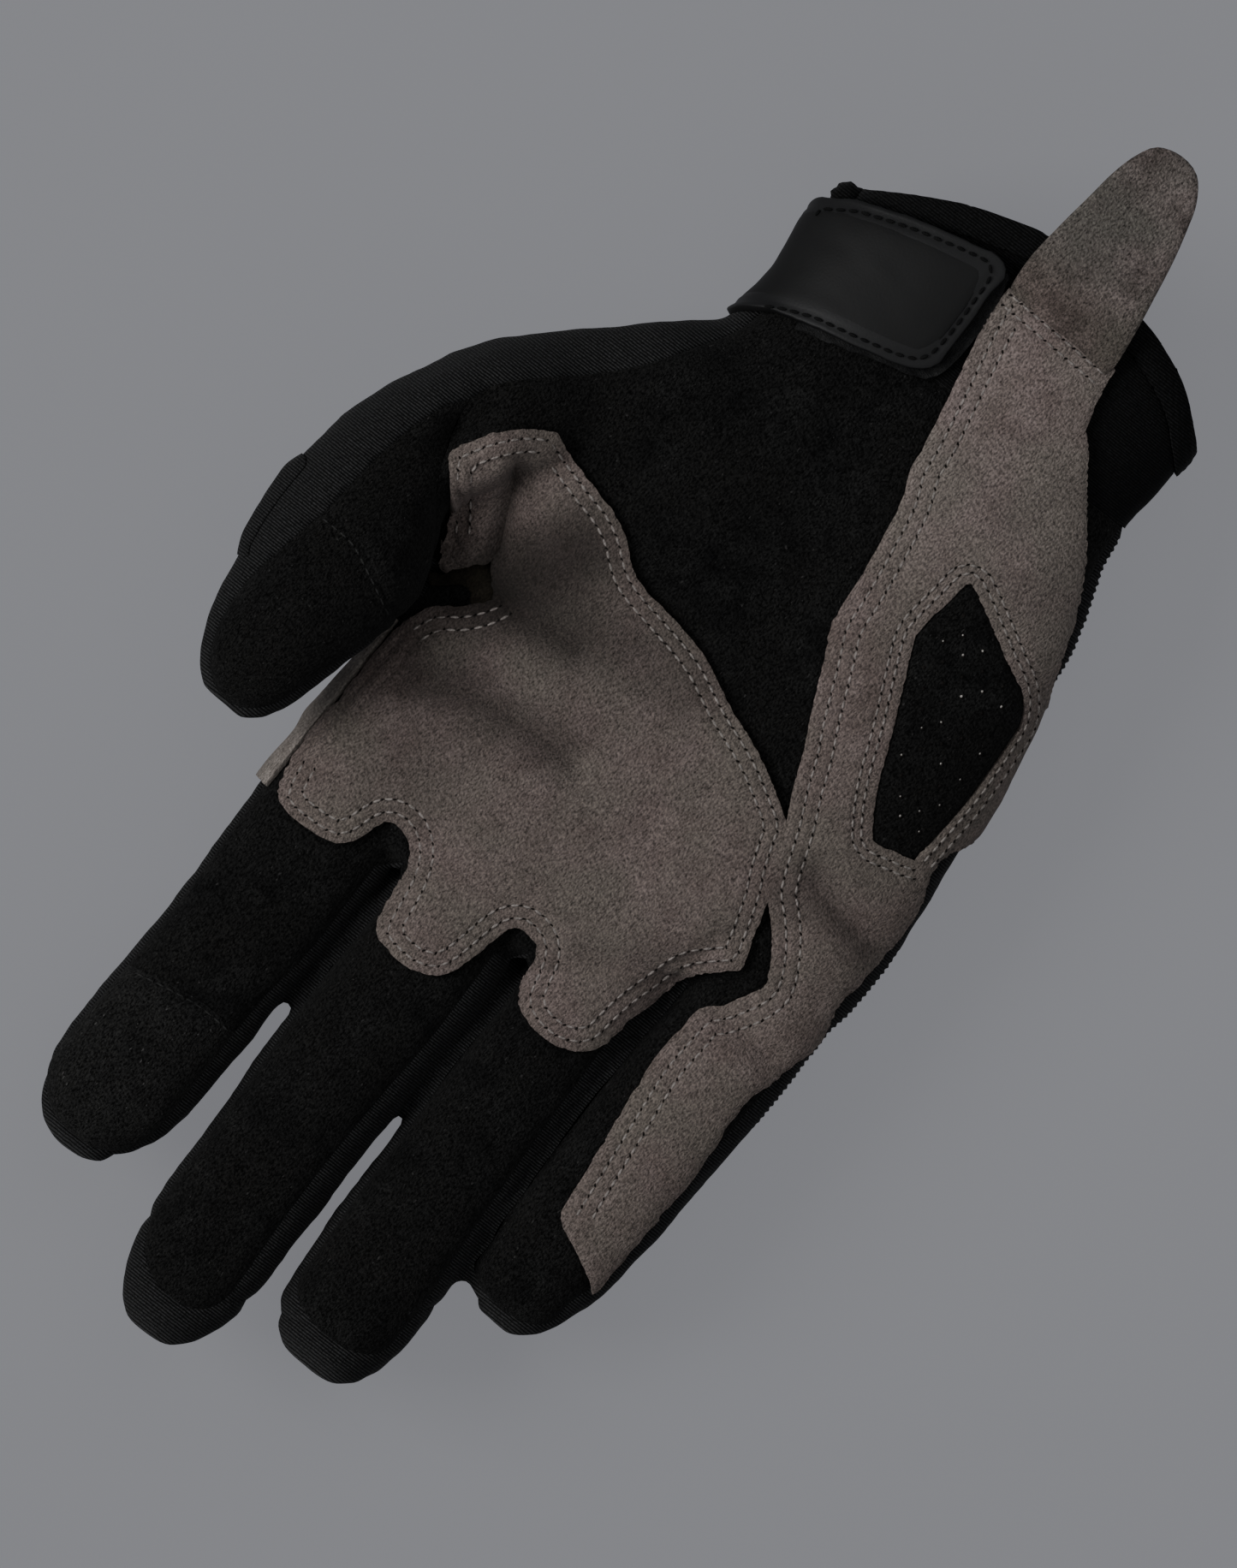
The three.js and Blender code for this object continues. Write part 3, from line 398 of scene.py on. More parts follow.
def suede_nap():
    """Short brushed nap: masks of mottling, dye drift, flecks and lint, and a height."""
    group = bpy.data.node_groups.new("suede_nap", "ShaderNodeTree")
    socket(group, "Place", "INPUT", "NodeSocketVector")
    socket(group, "Pitch", "INPUT", value=0.0007)
    for name in ("Mottle", "Drift", "Fleck", "Height", "Lint"):
        socket(group, name, "OUTPUT")
    nodes, link = group.nodes, group.links.new
    source, sink = nodes.new("NodeGroupInput"), nodes.new("NodeGroupOutput")

    brushed = nodes.new("ShaderNodeMapping")
    brushed.inputs["Rotation"].default_value = (0, 0, math.radians(-68))
    brushed.inputs["Scale"].default_value = (1, 0.55, 1)
    link(source.outputs["Place"], brushed.inputs["Vector"])

    def grain(scale, detail, rough, name):
        n = nodes.new("ShaderNodeTexNoise")
        n.name = name
        n.inputs["Scale"].default_value = scale
        n.inputs["Detail"].default_value = detail
        n.inputs["Roughness"].default_value = rough
        link((brushed if scale > 1000 else source).outputs[0], n.inputs["Vector"])
        return n.outputs["Fac"]

    def spread(value, low, high):
        n = nodes.new("ShaderNodeMapRange")
        n.inputs["From Min"].default_value = low
        n.inputs["From Max"].default_value = high
        link(value, n.inputs["Value"])
        return n.outputs["Result"]

    def mix(kind, a, b, amount=None):
        n = nodes.new("ShaderNodeMath")
        n.operation = kind
        link(a, n.inputs[0])
        if amount is None:
            link(b, n.inputs[1])
        else:
            n.inputs[1].default_value = amount
        return n.outputs[0]

    mottle = spread(grain(190, 3, 0.6, "hand-sized wear"), 0.35, 0.66)
    drift = spread(grain(75, 2, 0.5, "dye drift"), 0.36, 0.64)
    fibre = grain(3000, 3, 0.7, "fibres")
    speck = grain(5600, 1, 0.5, "specks")
    lint = spread(grain(1900, 1, 0.4, "lint"), 0.735, 0.79)
    turn = nodes.new("ShaderNodeMapping")
    turn.inputs["Rotation"].default_value = (0, 0, math.radians(-68))
    link(source.outputs["Place"], turn.inputs["Vector"])
    scale = nodes.new("ShaderNodeMath")
    scale.operation = "DIVIDE"
    scale.inputs[0].default_value = 2 * math.pi / 20
    link(source.outputs["Pitch"], scale.inputs[1])
    twill = nodes.new("ShaderNodeTexWave")
    twill.inputs["Distortion"].default_value = 5.5
    twill.inputs["Detail"].default_value = 2
    twill.inputs["Detail Scale"].default_value = 1.6
    link(turn.outputs["Vector"], twill.inputs["Vector"])
    link(scale.outputs[0], twill.inputs["Scale"])
    broken = mix("MULTIPLY", twill.outputs["Fac"], spread(fibre, 0.3, 0.62))
    height = mix("ADD", mix("MULTIPLY", broken, None, 0.22), fibre)
    link(mottle, sink.inputs["Mottle"])
    link(drift, sink.inputs["Drift"])
    grains = mix("ADD", mix("MULTIPLY", spread(fibre, 0.3, 0.7), None, 0.6), mix("MULTIPLY", speck, None, 0.3))
    link(mix("ADD", mix("MULTIPLY", broken, None, 0.14), grains), sink.inputs["Fleck"])
    link(lint, sink.inputs["Lint"])
    link(height, sink.inputs["Height"])
    return group


nap_group = suede_nap()


def ramp(nodes, link, value, stops):
    n = nodes.new("ShaderNodeValToRGB")
    n.color_ramp.elements[0].position, n.color_ramp.elements[0].color = stops[0][0], (*stops[0][1], 1)
    n.color_ramp.elements[1].position, n.color_ramp.elements[1].color = stops[-1][0], (*stops[-1][1], 1)
    for place, colour in stops[1:-1]:
        n.color_ramp.elements.new(place).color = (*colour, 1)
    link(value, n.inputs["Fac"])
    return n.outputs["Color"]


def tinted(nodes, link, a, b, factor=None, kind="MIX", amount=1.0):
    n = nodes.new("ShaderNodeMix")
    n.data_type = "RGBA"
    n.blend_type = kind
    n.inputs["Factor"].default_value = amount
    if factor is not None:
        link(factor, n.inputs["Factor"])
    link(a, n.inputs["A"])
    if isinstance(b, tuple):
        n.inputs["B"].default_value = (*b, 1)
    else:
        link(b, n.inputs["B"])
    return n.outputs["Result"]


def suede(material, dark, light, warm, pitch=0.0007, bump=0.00022, sheen=0.0, specular=0.1, contrast=0.55, lint=None,
          span=(0.15, 0.8)):
    material.use_nodes = True
    nodes, link = material.node_tree.nodes, material.node_tree.links.new
    shader = nodes["Principled BSDF"]
    place = nodes.new("ShaderNodeTexCoord")
    nap = nodes.new("ShaderNodeGroup")
    nap.node_tree = nap_group
    nap.inputs["Pitch"].default_value = pitch
    link(place.outputs["Object"], nap.inputs["Place"])
    base = ramp(nodes, link, nap.outputs["Mottle"], [(0, dark), (1, light)])
    base = tinted(nodes, link, base, warm, factor=nap.outputs["Drift"])
    flecks = ramp(nodes, link, nap.outputs["Fleck"], [(span[0], (1 - contrast,) * 3), (span[1], (1 + contrast,) * 3)])
    base = tinted(nodes, link, base, flecks, kind="MULTIPLY")
    if lint:
        base = tinted(nodes, link, base, lint, factor=nap.outputs["Lint"])
    link(base, shader.inputs["Base Color"])
    bumps = nodes.new("ShaderNodeBump")
    bumps.inputs["Distance"].default_value = bump
    bumps.inputs["Strength"].default_value = 0.9
    link(nap.outputs["Height"], bumps.inputs["Height"])
    link(bumps.outputs["Normal"], shader.inputs["Normal"])
    shader.inputs["Roughness"].default_value = 0.92
    shader.inputs["Specular IOR Level"].default_value = specular
    shader.inputs["Sheen Weight"].default_value = sheen
    shader.inputs["Sheen Roughness"].default_value = 0.5


suede(black, (0.0026, 0.0026, 0.0026), (0.0057, 0.0057, 0.0055), (0.0041, 0.004, 0.0038), bump=0.00026, sheen=0.012,
      specular=0.03, contrast=0.9, lint=(0.017, 0.0165, 0.016), span=(0.27, 0.76))
# Painted light: a lighter copy of the black suede for the index finger's tip; its paler lint specks are the tip suede's
# own.
black_painted_lit = bpy.data.materials.new("black_suede_painted_lit")
suede(black_painted_lit, (0.0038, 0.0038, 0.0038), (0.009, 0.009, 0.0087), (0.0062, 0.0061, 0.0058), bump=0.00026, sheen=0.014,
      specular=0.03, contrast=0.9, lint=(0.034, 0.033, 0.032), span=(0.27, 0.76))


def finger_face(rows, left_in, right_in, tip_in):
    """Plan outline of a finger's suede face, set in from the finger's outline."""
    top = rows[-1][0] - tip_in
    mid = 0.5 * (between(rows, top) + between(rows, top, 2))
    width = 0.5 * (between(rows, top - 9, 2) - between(rows, top - 9) - left_in - right_in)
    right, left = [], []
    for y in np.arange(rows[0][0] + 6, top - width * 0.85, 6):
        right.append((between(rows, y, 2) - right_in, y))
        left.append((between(rows, y) + left_in, y))
    cx = 0.5 * (right[-1][0] + left[-1][0])
    half = 0.5 * (right[-1][0] - left[-1][0])
    base = right[-1][1] + 2
    arc = [(cx + (mid - cx) * math.sin(a) + half * bend(math.cos(a), 2.5), base + (top - base) * bend(math.sin(a), 2.5))
           for a in np.linspace(0.12, math.pi - 0.12, 13)]
    return curve([right[0]] * 2 + right[1:] + arc + left[::-1][:-1] + [left[0]] * 2)


INSETS = {"index": (2.2, 0.5, 2.2), "middle": (3.6, 0.5, 7.2), "ring": (2.2, 0.6, 6), "little": (2.2, 0.8, 2.4)}
faces = {name: finger_face(FINGERS[name][1], *INSETS[name]) for name in FINGERS}
THUMB_VALLEY = [(52.4, 101), (52, 97), (53.6, 92), (56.4, 87), (60, 82.5), (63, 77), (64.6, 71), (65, 66.8)]
palm_face = curve(
    [(-33.4, 17)] * 2 + [(-34.5, 26), (-39, 42), (-42, 60), (-43.6, 80), (-44.6, 100), (-44.6, 116), (-44, 124)]
    + [(-44, 126)] * 2 + [(-26, 125)] + [(-22.6, 120.5)] * 2 + [(-19.6, 125)] * 2 + [(-1.5, 137)] + [(0.7, 134)] * 2
    + [(3, 137)] * 2 + [(24, 138)] + [(26.7, 135)] * 2 + [(29.5, 138)] * 2 + [(51.8, 139)] * 2
    + [(51.6, 125), (51.2, 112)] + THUMB_VALLEY[:-1] + [THUMB_VALLEY[-1]] * 2
    + [(62.4, 61), (52.8, 51.8), (46.6, 45), (42, 38), (38, 31), (36.6, 26)] + [(36.2, 17)] * 2)
thumb_face = curve(
    [(51.7, 102.4)] * 2 + THUMB_VALLEY[1:-1] + [THUMB_VALLEY[-1]] * 2
    + [(67.4, 70), (69.6, 75), (71.2, 82), (72.2, 90), (73, 97), (74.8, 105), (76.2, 114), (75.7, 121.5), (73.4, 127.6),
       (69.6, 131), (66, 131.8), (62.6, 130.6), (59.4, 127), (56.9, 120), (54.3, 112), (52.4, 106)])
thumb_seam = [(48, 104.4), (53, 103), (57, 101), (62, 98.6), (66, 97), (74, 96.8), (76, 96.8)]
rest = hand.data
TOP = 14


def take(points, low=TOP, high=90):
    """Cuts a panel out of what is left of the form."""
    global rest
    part = cut(rest, points, "INTERSECT", low, high)
    rest = cut(rest, points, "DIFFERENCE", low, high)
    return part


wide = lambda y0, y1, x0=-70, x1=100: [(x0, y0), (x1, y0), (x1, y1), (x0, y1)]
cuff_edge = [(-46, 9.5), (-38, 3), (-34, -1.6), (-27, -7.7), (-20, -10.8), (-15, -12.2), (-4, -13.8), (6, -13.7),
             (12, -12.2), (20, -9.4), (27, -5.8), (33, -2.2), (38, 1.2), (46, 8)]
edge_line = curve(cuff_edge, closed=False)


def cuff_strip(near, far):
    """Plan strip between two distances up from the cuff's swept edge."""
    return [(x, y + near) for x, y in edge_line] + [(x, y + far) for x, y in edge_line[::-1]]


take(cuff_strip(-60, 0), -20)
hem_part = take(cuff_strip(0, 5.4), -20)
cuff_part = take(wide(-40, 16.6), -20)
band_line = curve([(28.5, 174.6), (31, 174), (38, 173.5), (45, 174.5), (52.5, 176.2)], closed=False)
past_band = [tuple(p) for p in band_line] + [(60, 176.2), (60, 215), (20, 215), (20, 174.6)]
whole_index = take(faces["index"])
index_tip_part = cut(whole_index, past_band, "INTERSECT")
index_part = cut(whole_index, past_band, "DIFFERENCE")
past_seam = [tuple(p) for p in curve(thumb_seam, closed=False)] + [(90, 97), (90, 140), (45, 140)]
whole_thumb = take(thumb_face, 24)
thumb_tip_part = cut(whole_thumb, past_seam, "INTERSECT")
thumb_part = cut(whole_thumb, past_seam, "DIFFERENCE")
finger_parts = [index_part] + [take(faces[name]) for name in ("middle", "ring", "little")]
palm_part = take(palm_face)

palm_bm = sheet_of(palm_part)
for part in finger_parts:
    extra = sheet_of(part)
    copy = bpy.data.meshes.new("finger")
    extra.to_mesh(copy)
    extra.free()
    palm_bm.from_mesh(copy)
bmesh.ops.remove_doubles(palm_bm, verts=palm_bm.verts, dist=0.05)
tops = {}
for name, sheet_bm in (("palm_panel", palm_bm), ("thumb_panel", sheet_of(thumb_part)),
                       ("thumb_tip_pad", sheet_of(thumb_tip_part)), ("index_tip_pad", sheet_of(index_tip_part))):
    size = area(sheet_bm)
    seamed(sheet_bm)
    if name in ("thumb_tip_pad", "index_tip_pad"):
        tops[name] = BVHTree.FromBMesh(sheet_bm)
    piece = dressed(name, sheet_bm, black_painted_lit if name == "index_tip_pad" else black)
    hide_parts(name)
    flat = {"palm_panel": (0.122, 0.208), "thumb_panel": (0.026, 0.042), "thumb_tip_pad": (0.03, 0.04),
            "index_tip_pad": (0.025, 0.033)}[name]


# Ribbed knit: the walls between the fingers and the whole back of the glove, with the
# fingertips and the outside of the thumb. A fine stretch rib that runs along the fingers.
knit = bpy.data.materials.new("rib_knit")


def ribbed():
    """Fine ribs across the glove with loops along them: a height and a mask of the crowns."""
    group = bpy.data.node_groups.new("rib_knit", "ShaderNodeTree")
    socket(group, "Place", "INPUT", "NodeSocketVector")
    socket(group, "Pitch", "INPUT", value=0.0006)
    socket(group, "Height", "OUTPUT")
    socket(group, "Crown", "OUTPUT")
    nodes, link = group.nodes, group.links.new
    source, sink = nodes.new("NodeGroupInput"), nodes.new("NodeGroupOutput")
    scale = nodes.new("ShaderNodeMath")
    scale.operation = "DIVIDE"
    scale.inputs[0].default_value = 2 * math.pi / 20
    link(source.outputs["Pitch"], scale.inputs[1])
    waves = []
    for direction, finer in (("Y", 1.0), ("X", 0.8), ("Z", 0.8)):
        n = nodes.new("ShaderNodeTexWave")
        n.bands_direction = direction
        n.inputs["Distortion"].default_value = 1.2
        n.inputs["Detail"].default_value = 1
        size = nodes.new("ShaderNodeMath")
        size.operation = "MULTIPLY"
        size.inputs[1].default_value = finer
        link(scale.outputs[0], size.inputs[0])
        link(source.outputs["Place"], n.inputs["Vector"])
        link(size.outputs[0], n.inputs["Scale"])
        waves.append(n.outputs["Fac"])
    total = waves[0]
    for wave in waves[1:]:
        loops = nodes.new("ShaderNodeMath")
        loops.operation = "MULTIPLY_ADD"
        loops.inputs[1].default_value = 0.07
        link(wave, loops.inputs[0])
        link(total, loops.inputs[2])
        total = loops.outputs[0]
    link(total, sink.inputs["Height"])
    link(total, sink.inputs["Crown"])
    return group


rib_group = ribbed()


def knitted(material, dark, light, pitch, bump, roughness=0.9, specular=0.04):
    material.use_nodes = True
    nodes, link = material.node_tree.nodes, material.node_tree.links.new
    shader = nodes["Principled BSDF"]
    place = nodes.new("ShaderNodeTexCoord")
    ribs = nodes.new("ShaderNodeGroup")
    ribs.node_tree = rib_group
    ribs.inputs["Pitch"].default_value = pitch
    link(place.outputs["Object"], ribs.inputs["Place"])
    nap = nodes.new("ShaderNodeGroup")
    nap.node_tree = nap_group
    link(place.outputs["Object"], nap.inputs["Place"])
    base = ramp(nodes, link, ribs.outputs["Crown"], [(0.15, dark), (1.0, light)])
    flecks = ramp(nodes, link, nap.outputs["Fleck"], [(0.15, (0.35,) * 3), (0.8, (1.65,) * 3)])
    link(tinted(nodes, link, base, flecks, kind="MULTIPLY"), shader.inputs["Base Color"])
    bumps = nodes.new("ShaderNodeBump")
    bumps.inputs["Distance"].default_value = bump
    link(ribs.outputs["Height"], bumps.inputs["Height"])
    link(bumps.outputs["Normal"], shader.inputs["Normal"])
    shader.inputs["Roughness"].default_value = roughness
    shader.inputs["Specular IOR Level"].default_value = specular
    shader.inputs["Sheen Weight"].default_value = 0.02
    shader.inputs["Sheen Roughness"].default_value = 0.4


knitted(knit, (0.0018, 0.0018, 0.0018), (0.0142, 0.0142, 0.0143), 0.0005, 0.00018)
axes = {name: [(0.5 * (left + right), y) for y, left, right in FINGERS[name][1]] for name in FINGERS}
for name, a, b, start, flat in (("side_wall_index_middle", "index", "middle", 122, (0.02, 0.15)),
                                ("side_wall_middle_ring", "middle", "ring", 120, (0.02, 0.15)),
                                ("side_wall_ring_little", "ring", "little", 106, (0.02, 0.12))):
    right = [p for p in axes[a] if start < p[1] < axes[a][-1][1] - 6]
    left = [p for p in axes[b] if start < p[1] < axes[b][-1][1] - 6]
    part = take([(right[0][0], start)] + right + left[::-1] + [(left[0][0], start)], 8)
    sheet_bm = sheet_of(part, "all")
    size = area(sheet_bm)
    seamed(sheet_bm)
    piece = dressed(name, sheet_bm, knit)
    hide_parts(name)
sheet_bm = sheet_of(rest, "all")
size = area(sheet_bm)
seamed(sheet_bm)


def finer(bm, inside, cuts):
    """Splits the faces of one zone so that it can carry small ribs."""
    edges = [e for e in bm.edges if inside(e.verts[0].co) and inside(e.verts[1].co)]
    bmesh.ops.subdivide_edges(bm, edges=edges, cuts=cuts, use_grid_fill=True)


def rib_zone(co):
    return co.x < -34 and (13 < co.y < 49 or 93 < co.y < 136) and 3 < co.z < 30


def zone_fade(co):
    return max(0, min(1, (co.y - 14) / 4, (48 - co.y) / 4)) + max(0, min(1, (co.y - 94) / 5, (135 - co.y) / 5))


finer(sheet_bm, rib_zone, 3)
raised(sheet_bm, lambda v: 0.17 * zone_fade(v.co) * math.sin(v.co.y * 2 * math.pi / 1.2) if rib_zone(v.co) else 0)
back = dressed("back_panel", sheet_bm, knit, rim=0)
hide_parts("back_panel")

# Cuff: a smooth stretch jersey band round the wrist, and the binding folded over its edge.
# The binding is a knitted tape, so fine ribs stand across its outer edge.
jersey = bpy.data.materials.new("cuff_knit")
knitted(jersey, (0.0012, 0.0012, 0.0012), (0.0042, 0.0042, 0.0043), 0.00045, 0.0001)
tape = bpy.data.materials.new("hem_tape")
knitted(tape, (0.0012, 0.0012, 0.0012), (0.0046, 0.0046, 0.0047), 0.0005, 0.00014)
sheet_bm = sheet_of(cuff_part, "all")
size = area(sheet_bm)
cuff = dressed("cuff_band", sheet_bm, jersey)
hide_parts("cuff_band")


sheet_bm = sheet_of(hem_part, "all", 0.3)
size = area(sheet_bm)
hem_line = [(x, y + 2.7) for x, y in edge_line]


finer(sheet_bm, lambda co: True, 2)
spots = np.array([v.co[:2] for v in sheet_bm.verts])
across = distance(spots, hem_line)
along = {v: 1.0 - 0.09 * far * far + 0.05 * math.sin((v.co.x * 0.75 - v.co.y * 0.6 * math.copysign(1, v.co.x)) * 2 * math.pi / 0.95)
         for v, far in zip(sheet_bm.verts, across)}
raised(sheet_bm, along.get)
hem = dressed("cuff_hem", sheet_bm, tape, wall=1.8, rim=0.4)
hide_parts("cuff_hem")


# Grey-brown suede reinforcements: a palm patch with a lobe on three fingers and a slit at
# the thumb's web, and a side patch from the cuff over the heel of the hand to the little
# finger, with a window for the heel pad. Both are laid on the palm and sewn down twice.
PALM_PATCH = [
    (51, 63), (51, 63), (55, 65.6), (58.8, 70), (61.4, 74.4), (62, 76.6), (60.3, 79), (55.4, 85.6), (52.6, 90.4),
    (51.5, 92), (51.5, 92), (49.2, 89.3), (46.8, 86.8), (44.8, 86.7), (41.6, 91.2), (41.6, 91.2), (44.8, 95.3),
    (48.2, 97.8), (50, 101), (51, 104.6), (51.3, 111), (51.2, 118), (51.5, 124), (51.6, 129.5), (50.8, 135.5),
    (49.6, 138.7), (47.4, 139.7), (43, 139.8), (39, 139.4), (36.6, 138), (35.2, 135.6), (34.2, 132.3), (33, 130.4),
    (30.2, 129.9), (27.6, 131.2), (25.6, 134), (24.5, 138), (23.9, 142), (23.2, 145.4), (21.4, 147.2), (16, 147.8),
    (12.8, 147.1), (10.4, 145.5), (9, 143), (8, 139), (7.2, 135), (6.2, 132.2), (4.6, 130.9), (2.8, 130.8),
    (0.9, 131.4), (-0.6, 133.2), (-1.6, 137), (-2.6, 140), (-4.6, 142), (-8, 143), (-11, 143.1), (-14, 142.2),
    (-16.4, 140.5), (-17.8, 138), (-18.3, 134), (-19, 130), (-20.5, 125), (-21.8, 120.4), (-24, 117.8), (-28.4, 113.8),
    (-28.4, 113.8), (-27.4, 110.4), (-25.6, 105), (-24.4, 101.6), (-22.6, 98), (-19.9, 90.4), (-19.9, 90.4),
    (-10, 84.7), (0, 80.8), (6.5, 77.7), (12.5, 76), (23.8, 73.8), (27.5, 72), (30.6, 69.4), (35, 67.2), (40, 66)]
SIDE_EDGE = [
    (6.1, -2.7), (6.1, -2.7), (5.4, 4.2), (4, 11), (2.3, 18.8), (0.8, 26.4), (0.2, 31), (-1.9, 36), (-3.3, 43),
    (-4.7, 52), (-5.5, 59), (-7.8, 64), (-10, 69), (-12, 73.5), (-15, 79.5), (-17, 84.5), (-19.9, 90.6), (-22.7, 98),
    (-24.6, 101.6), (-27, 103.7), (-30, 107), (-32.5, 111), (-33.5, 114.5), (-31, 119.5), (-29.8, 121.2), (-28.1, 123),
    (-27.6, 125), (-27.3, 129), (-27, 134.4), (-27.5, 140), (-28.1, 145), (-29, 153), (-29.7, 159), (-30.3, 164.4),
    (-30.3, 164.4)]
SIDE_PATCH = SIDE_EDGE + [
    (-31.9, 166), (-36.2, 168), (-40, 170), (-42, 171.9), (-42, 171.9), (-42.3, 166), (-42.7, 156), (-43.1, 148),
    (-42.8, 140.6), (-42.2, 132.8), (-42.6, 129.6), (-44, 125), (-44.7, 121), (-45.6, 117), (-45.3, 113.6),
    (-44.4, 108), (-45, 103.8), (-45.5, 95), (-45, 87.6), (-43.8, 84.4), (-43.1, 81.3), (-43.4, 78.8), (-44.9, 74),
    (-47, 70), (-46.4, 60), (-43, 51), (-40.6, 47.6), (-38.3, 41), (-36.6, 36), (-34.2, 30.6), (-31.7, 26),
    (-28.6, 21.5), (-24.4, 16), (-20, 10), (-18.2, 8.3), (-17.2, 5.6), (-16.3, 1.4), (-15.9, -2.7), (-15.9, -2.7)]
WINDOW = [(-40, 82.2), (-40, 82.2), (-36, 83.2), (-32.9, 84), (-31.4, 82.8), (-27.5, 76.3), (-23.8, 67.5), (-20.3, 60),
          (-17.4, 53.6), (-17, 51.2), (-17.8, 44.4), (-18.2, 40.6), (-19, 39.6), (-21.7, 40.6), (-27.2, 43.6),
          (-32, 46.3), (-36.5, 48.7), (-39.4, 52.5), (-40.1, 56.6), (-40.7, 68.8)]


def shaded(material, axis, start, end, tint):
    """Paints light or shade into a material's colour: multiplies it by a tint that comes in along one axis."""
    nodes, link = material.node_tree.nodes, material.node_tree.links.new
    shader = nodes["Principled BSDF"]
    parts = nodes.new("ShaderNodeSeparateXYZ")
    link(next(n for n in nodes if n.type == "TEX_COORD").outputs["Object"], parts.inputs["Vector"])
    rise = nodes.new("ShaderNodeMapRange")
    rise.interpolation_type = "SMOOTHSTEP"
    rise.inputs["From Min"].default_value, rise.inputs["From Max"].default_value = start, end
    link(parts.outputs[axis], rise.inputs["Value"])
    plain = shader.inputs["Base Color"].links[0].from_socket
    other = tinted(nodes, link, plain, tint, kind="MULTIPLY")
    link(tinted(nodes, link, plain, other, factor=rise.outputs["Result"]), shader.inputs["Base Color"])


grey = bpy.data.materials.new("grey_suede")
suede(grey, (0.0565, 0.0438, 0.0394), (0.0765, 0.0605, 0.0556), (0.062, 0.0525, 0.0456), bump=0.00024, sheen=0.02,
      specular=0.08, contrast=0.78)
# Painted light: a copy of the grey suede whose colour turns lighter towards the wrist.
side_suede_painted_light = bpy.data.materials.new("side_suede")
suede(side_suede_painted_light, (0.0565, 0.0438, 0.0394), (0.0765, 0.0605, 0.0556), (0.062, 0.0525, 0.0456), bump=0.00024, sheen=0.02,
      specular=0.08, contrast=0.78)
shaded(side_suede_painted_light, "Y", -0.03, -0.066, (1.27, 1.28, 1.3))
# Painted shade: the painted_shade attribute darkens both patches' colour towards a near-black tint in their creases
# and, on the palm patch, where the thumb's shadow falls.
for material in (grey, side_suede_painted_light):
    nodes, link = material.node_tree.nodes, material.node_tree.links.new
    amount = nodes.new("ShaderNodeAttribute")
    amount.attribute_name = "painted_shade"
    colour = nodes["Principled BSDF"].inputs["Base Color"]
    link(tinted(nodes, link, colour.links[0].from_socket, (0.004, 0.0035, 0.003), factor=amount.outputs["Fac"]), colour)
thread = bpy.data.materials.new("thread")
suede(thread, (0.088, 0.077, 0.071), (0.14, 0.123, 0.115), (0.11, 0.099, 0.091), pitch=0.0003, bump=0.00006, specular=0.1)
hole = bpy.data.materials.new("needle_hole")
suede(hole, (0.004, 0.0036, 0.0034), (0.009, 0.008, 0.0075), (0.006, 0.0054, 0.005), specular=0.02)


def inset(points, amount):
    """A closed line moved inwards, without the loops that tight bends would leave."""
    pts = np.asarray(points, float)
    side = np.roll(pts, -1, 0) - np.roll(pts, 1, 0)
    side /= np.maximum(np.hypot(*side.T), 1e-9)[:, None]
    turn = np.sum(pts[:, 0] * np.roll(pts[:, 1], -1) - pts[:, 1] * np.roll(pts[:, 0], -1))
    moved = pts + np.c_[-side[:, 1], side[:, 0]] * amount * (1 if turn > 0 else -1)
    ring = np.vstack([pts, pts[:1]])
    return moved[distance(moved, ring) > abs(amount) * 0.93]


def laid(points, lift, low=TOP, high=90, fine=1, window=None):
    """A sheet on the hand form inside an outline, raised off it."""
    mesh = cut(hand.data, points, "INTERSECT", low, high)
    if window is not None:
        mesh = cut(mesh, window, "DIFFERENCE", low - 4, 90)
    bm = sheet_of(mesh)
    for _ in range(fine):
        bmesh.ops.subdivide_edges(bm, edges=bm.edges, cuts=1, use_grid_fill=True)
    for _ in range(2):
        bmesh.ops.smooth_vert(bm, verts=[v for v in bm.verts if not v.is_boundary], factor=0.5,
                              use_axis_x=True, use_axis_y=True, use_axis_z=True)
    for _ in range(4):
        bmesh.ops.smooth_vert(bm, verts=[v for v in bm.verts if v.is_boundary], factor=0.5, use_axis_z=True)
    raised(bm, lift)
    return bm


def sewn(bm, edge, rows, dip=0.34, puff=0.3, thick=1.2):
    """Presses a laid sheet down at its edge and its stitch rows, and gives its top for the stitches."""
    spots = np.array([v.co[:2] for v in bm.verts])
    to_edge = np.minimum.reduce([distance(spots, np.vstack([e, e[:1]])) for e in edge])
    to_row = np.minimum.reduce([distance(spots, r) for r in rows]) if rows else np.full(len(spots), 99.0)
    rise = puff * (1 - np.exp(-to_edge / 3)) - dip * np.exp(-((to_row / 0.62) ** 2)) - 0.25 * np.exp(-((to_edge / 0.5) ** 2))
    raised(bm, dict(zip(bm.verts, rise)).get)
    top = bm.copy()
    raised(top, thick)
    return BVHTree.FromBMesh(top)


def stepped(line, pitch):
    """Evenly spaced points along a run, in pairs that start and end a stitch."""
    line = np.asarray(line, float)
    gaps = np.hypot(*np.diff(line, axis=0).T)
    runs = []
    start = 0
    for i in list(np.nonzero(gaps > 4)[0]) + [len(gaps)]:
        if i - start > 1:
            runs.append(line[start:i + 1])
        start = i + 1
    pairs = []
    for run in runs:
        far = np.r_[0, np.cumsum(np.hypot(*np.diff(run, axis=0).T))]
        steps = max(1, int(far[-1] / pitch))
        marks = np.linspace(0, far[-1], steps + 1)
        at = np.c_[np.interp(marks, far, run[:, 0]), np.interp(marks, far, run[:, 1])]
        pairs += list(zip(at[:-1], at[1:]))
    return pairs


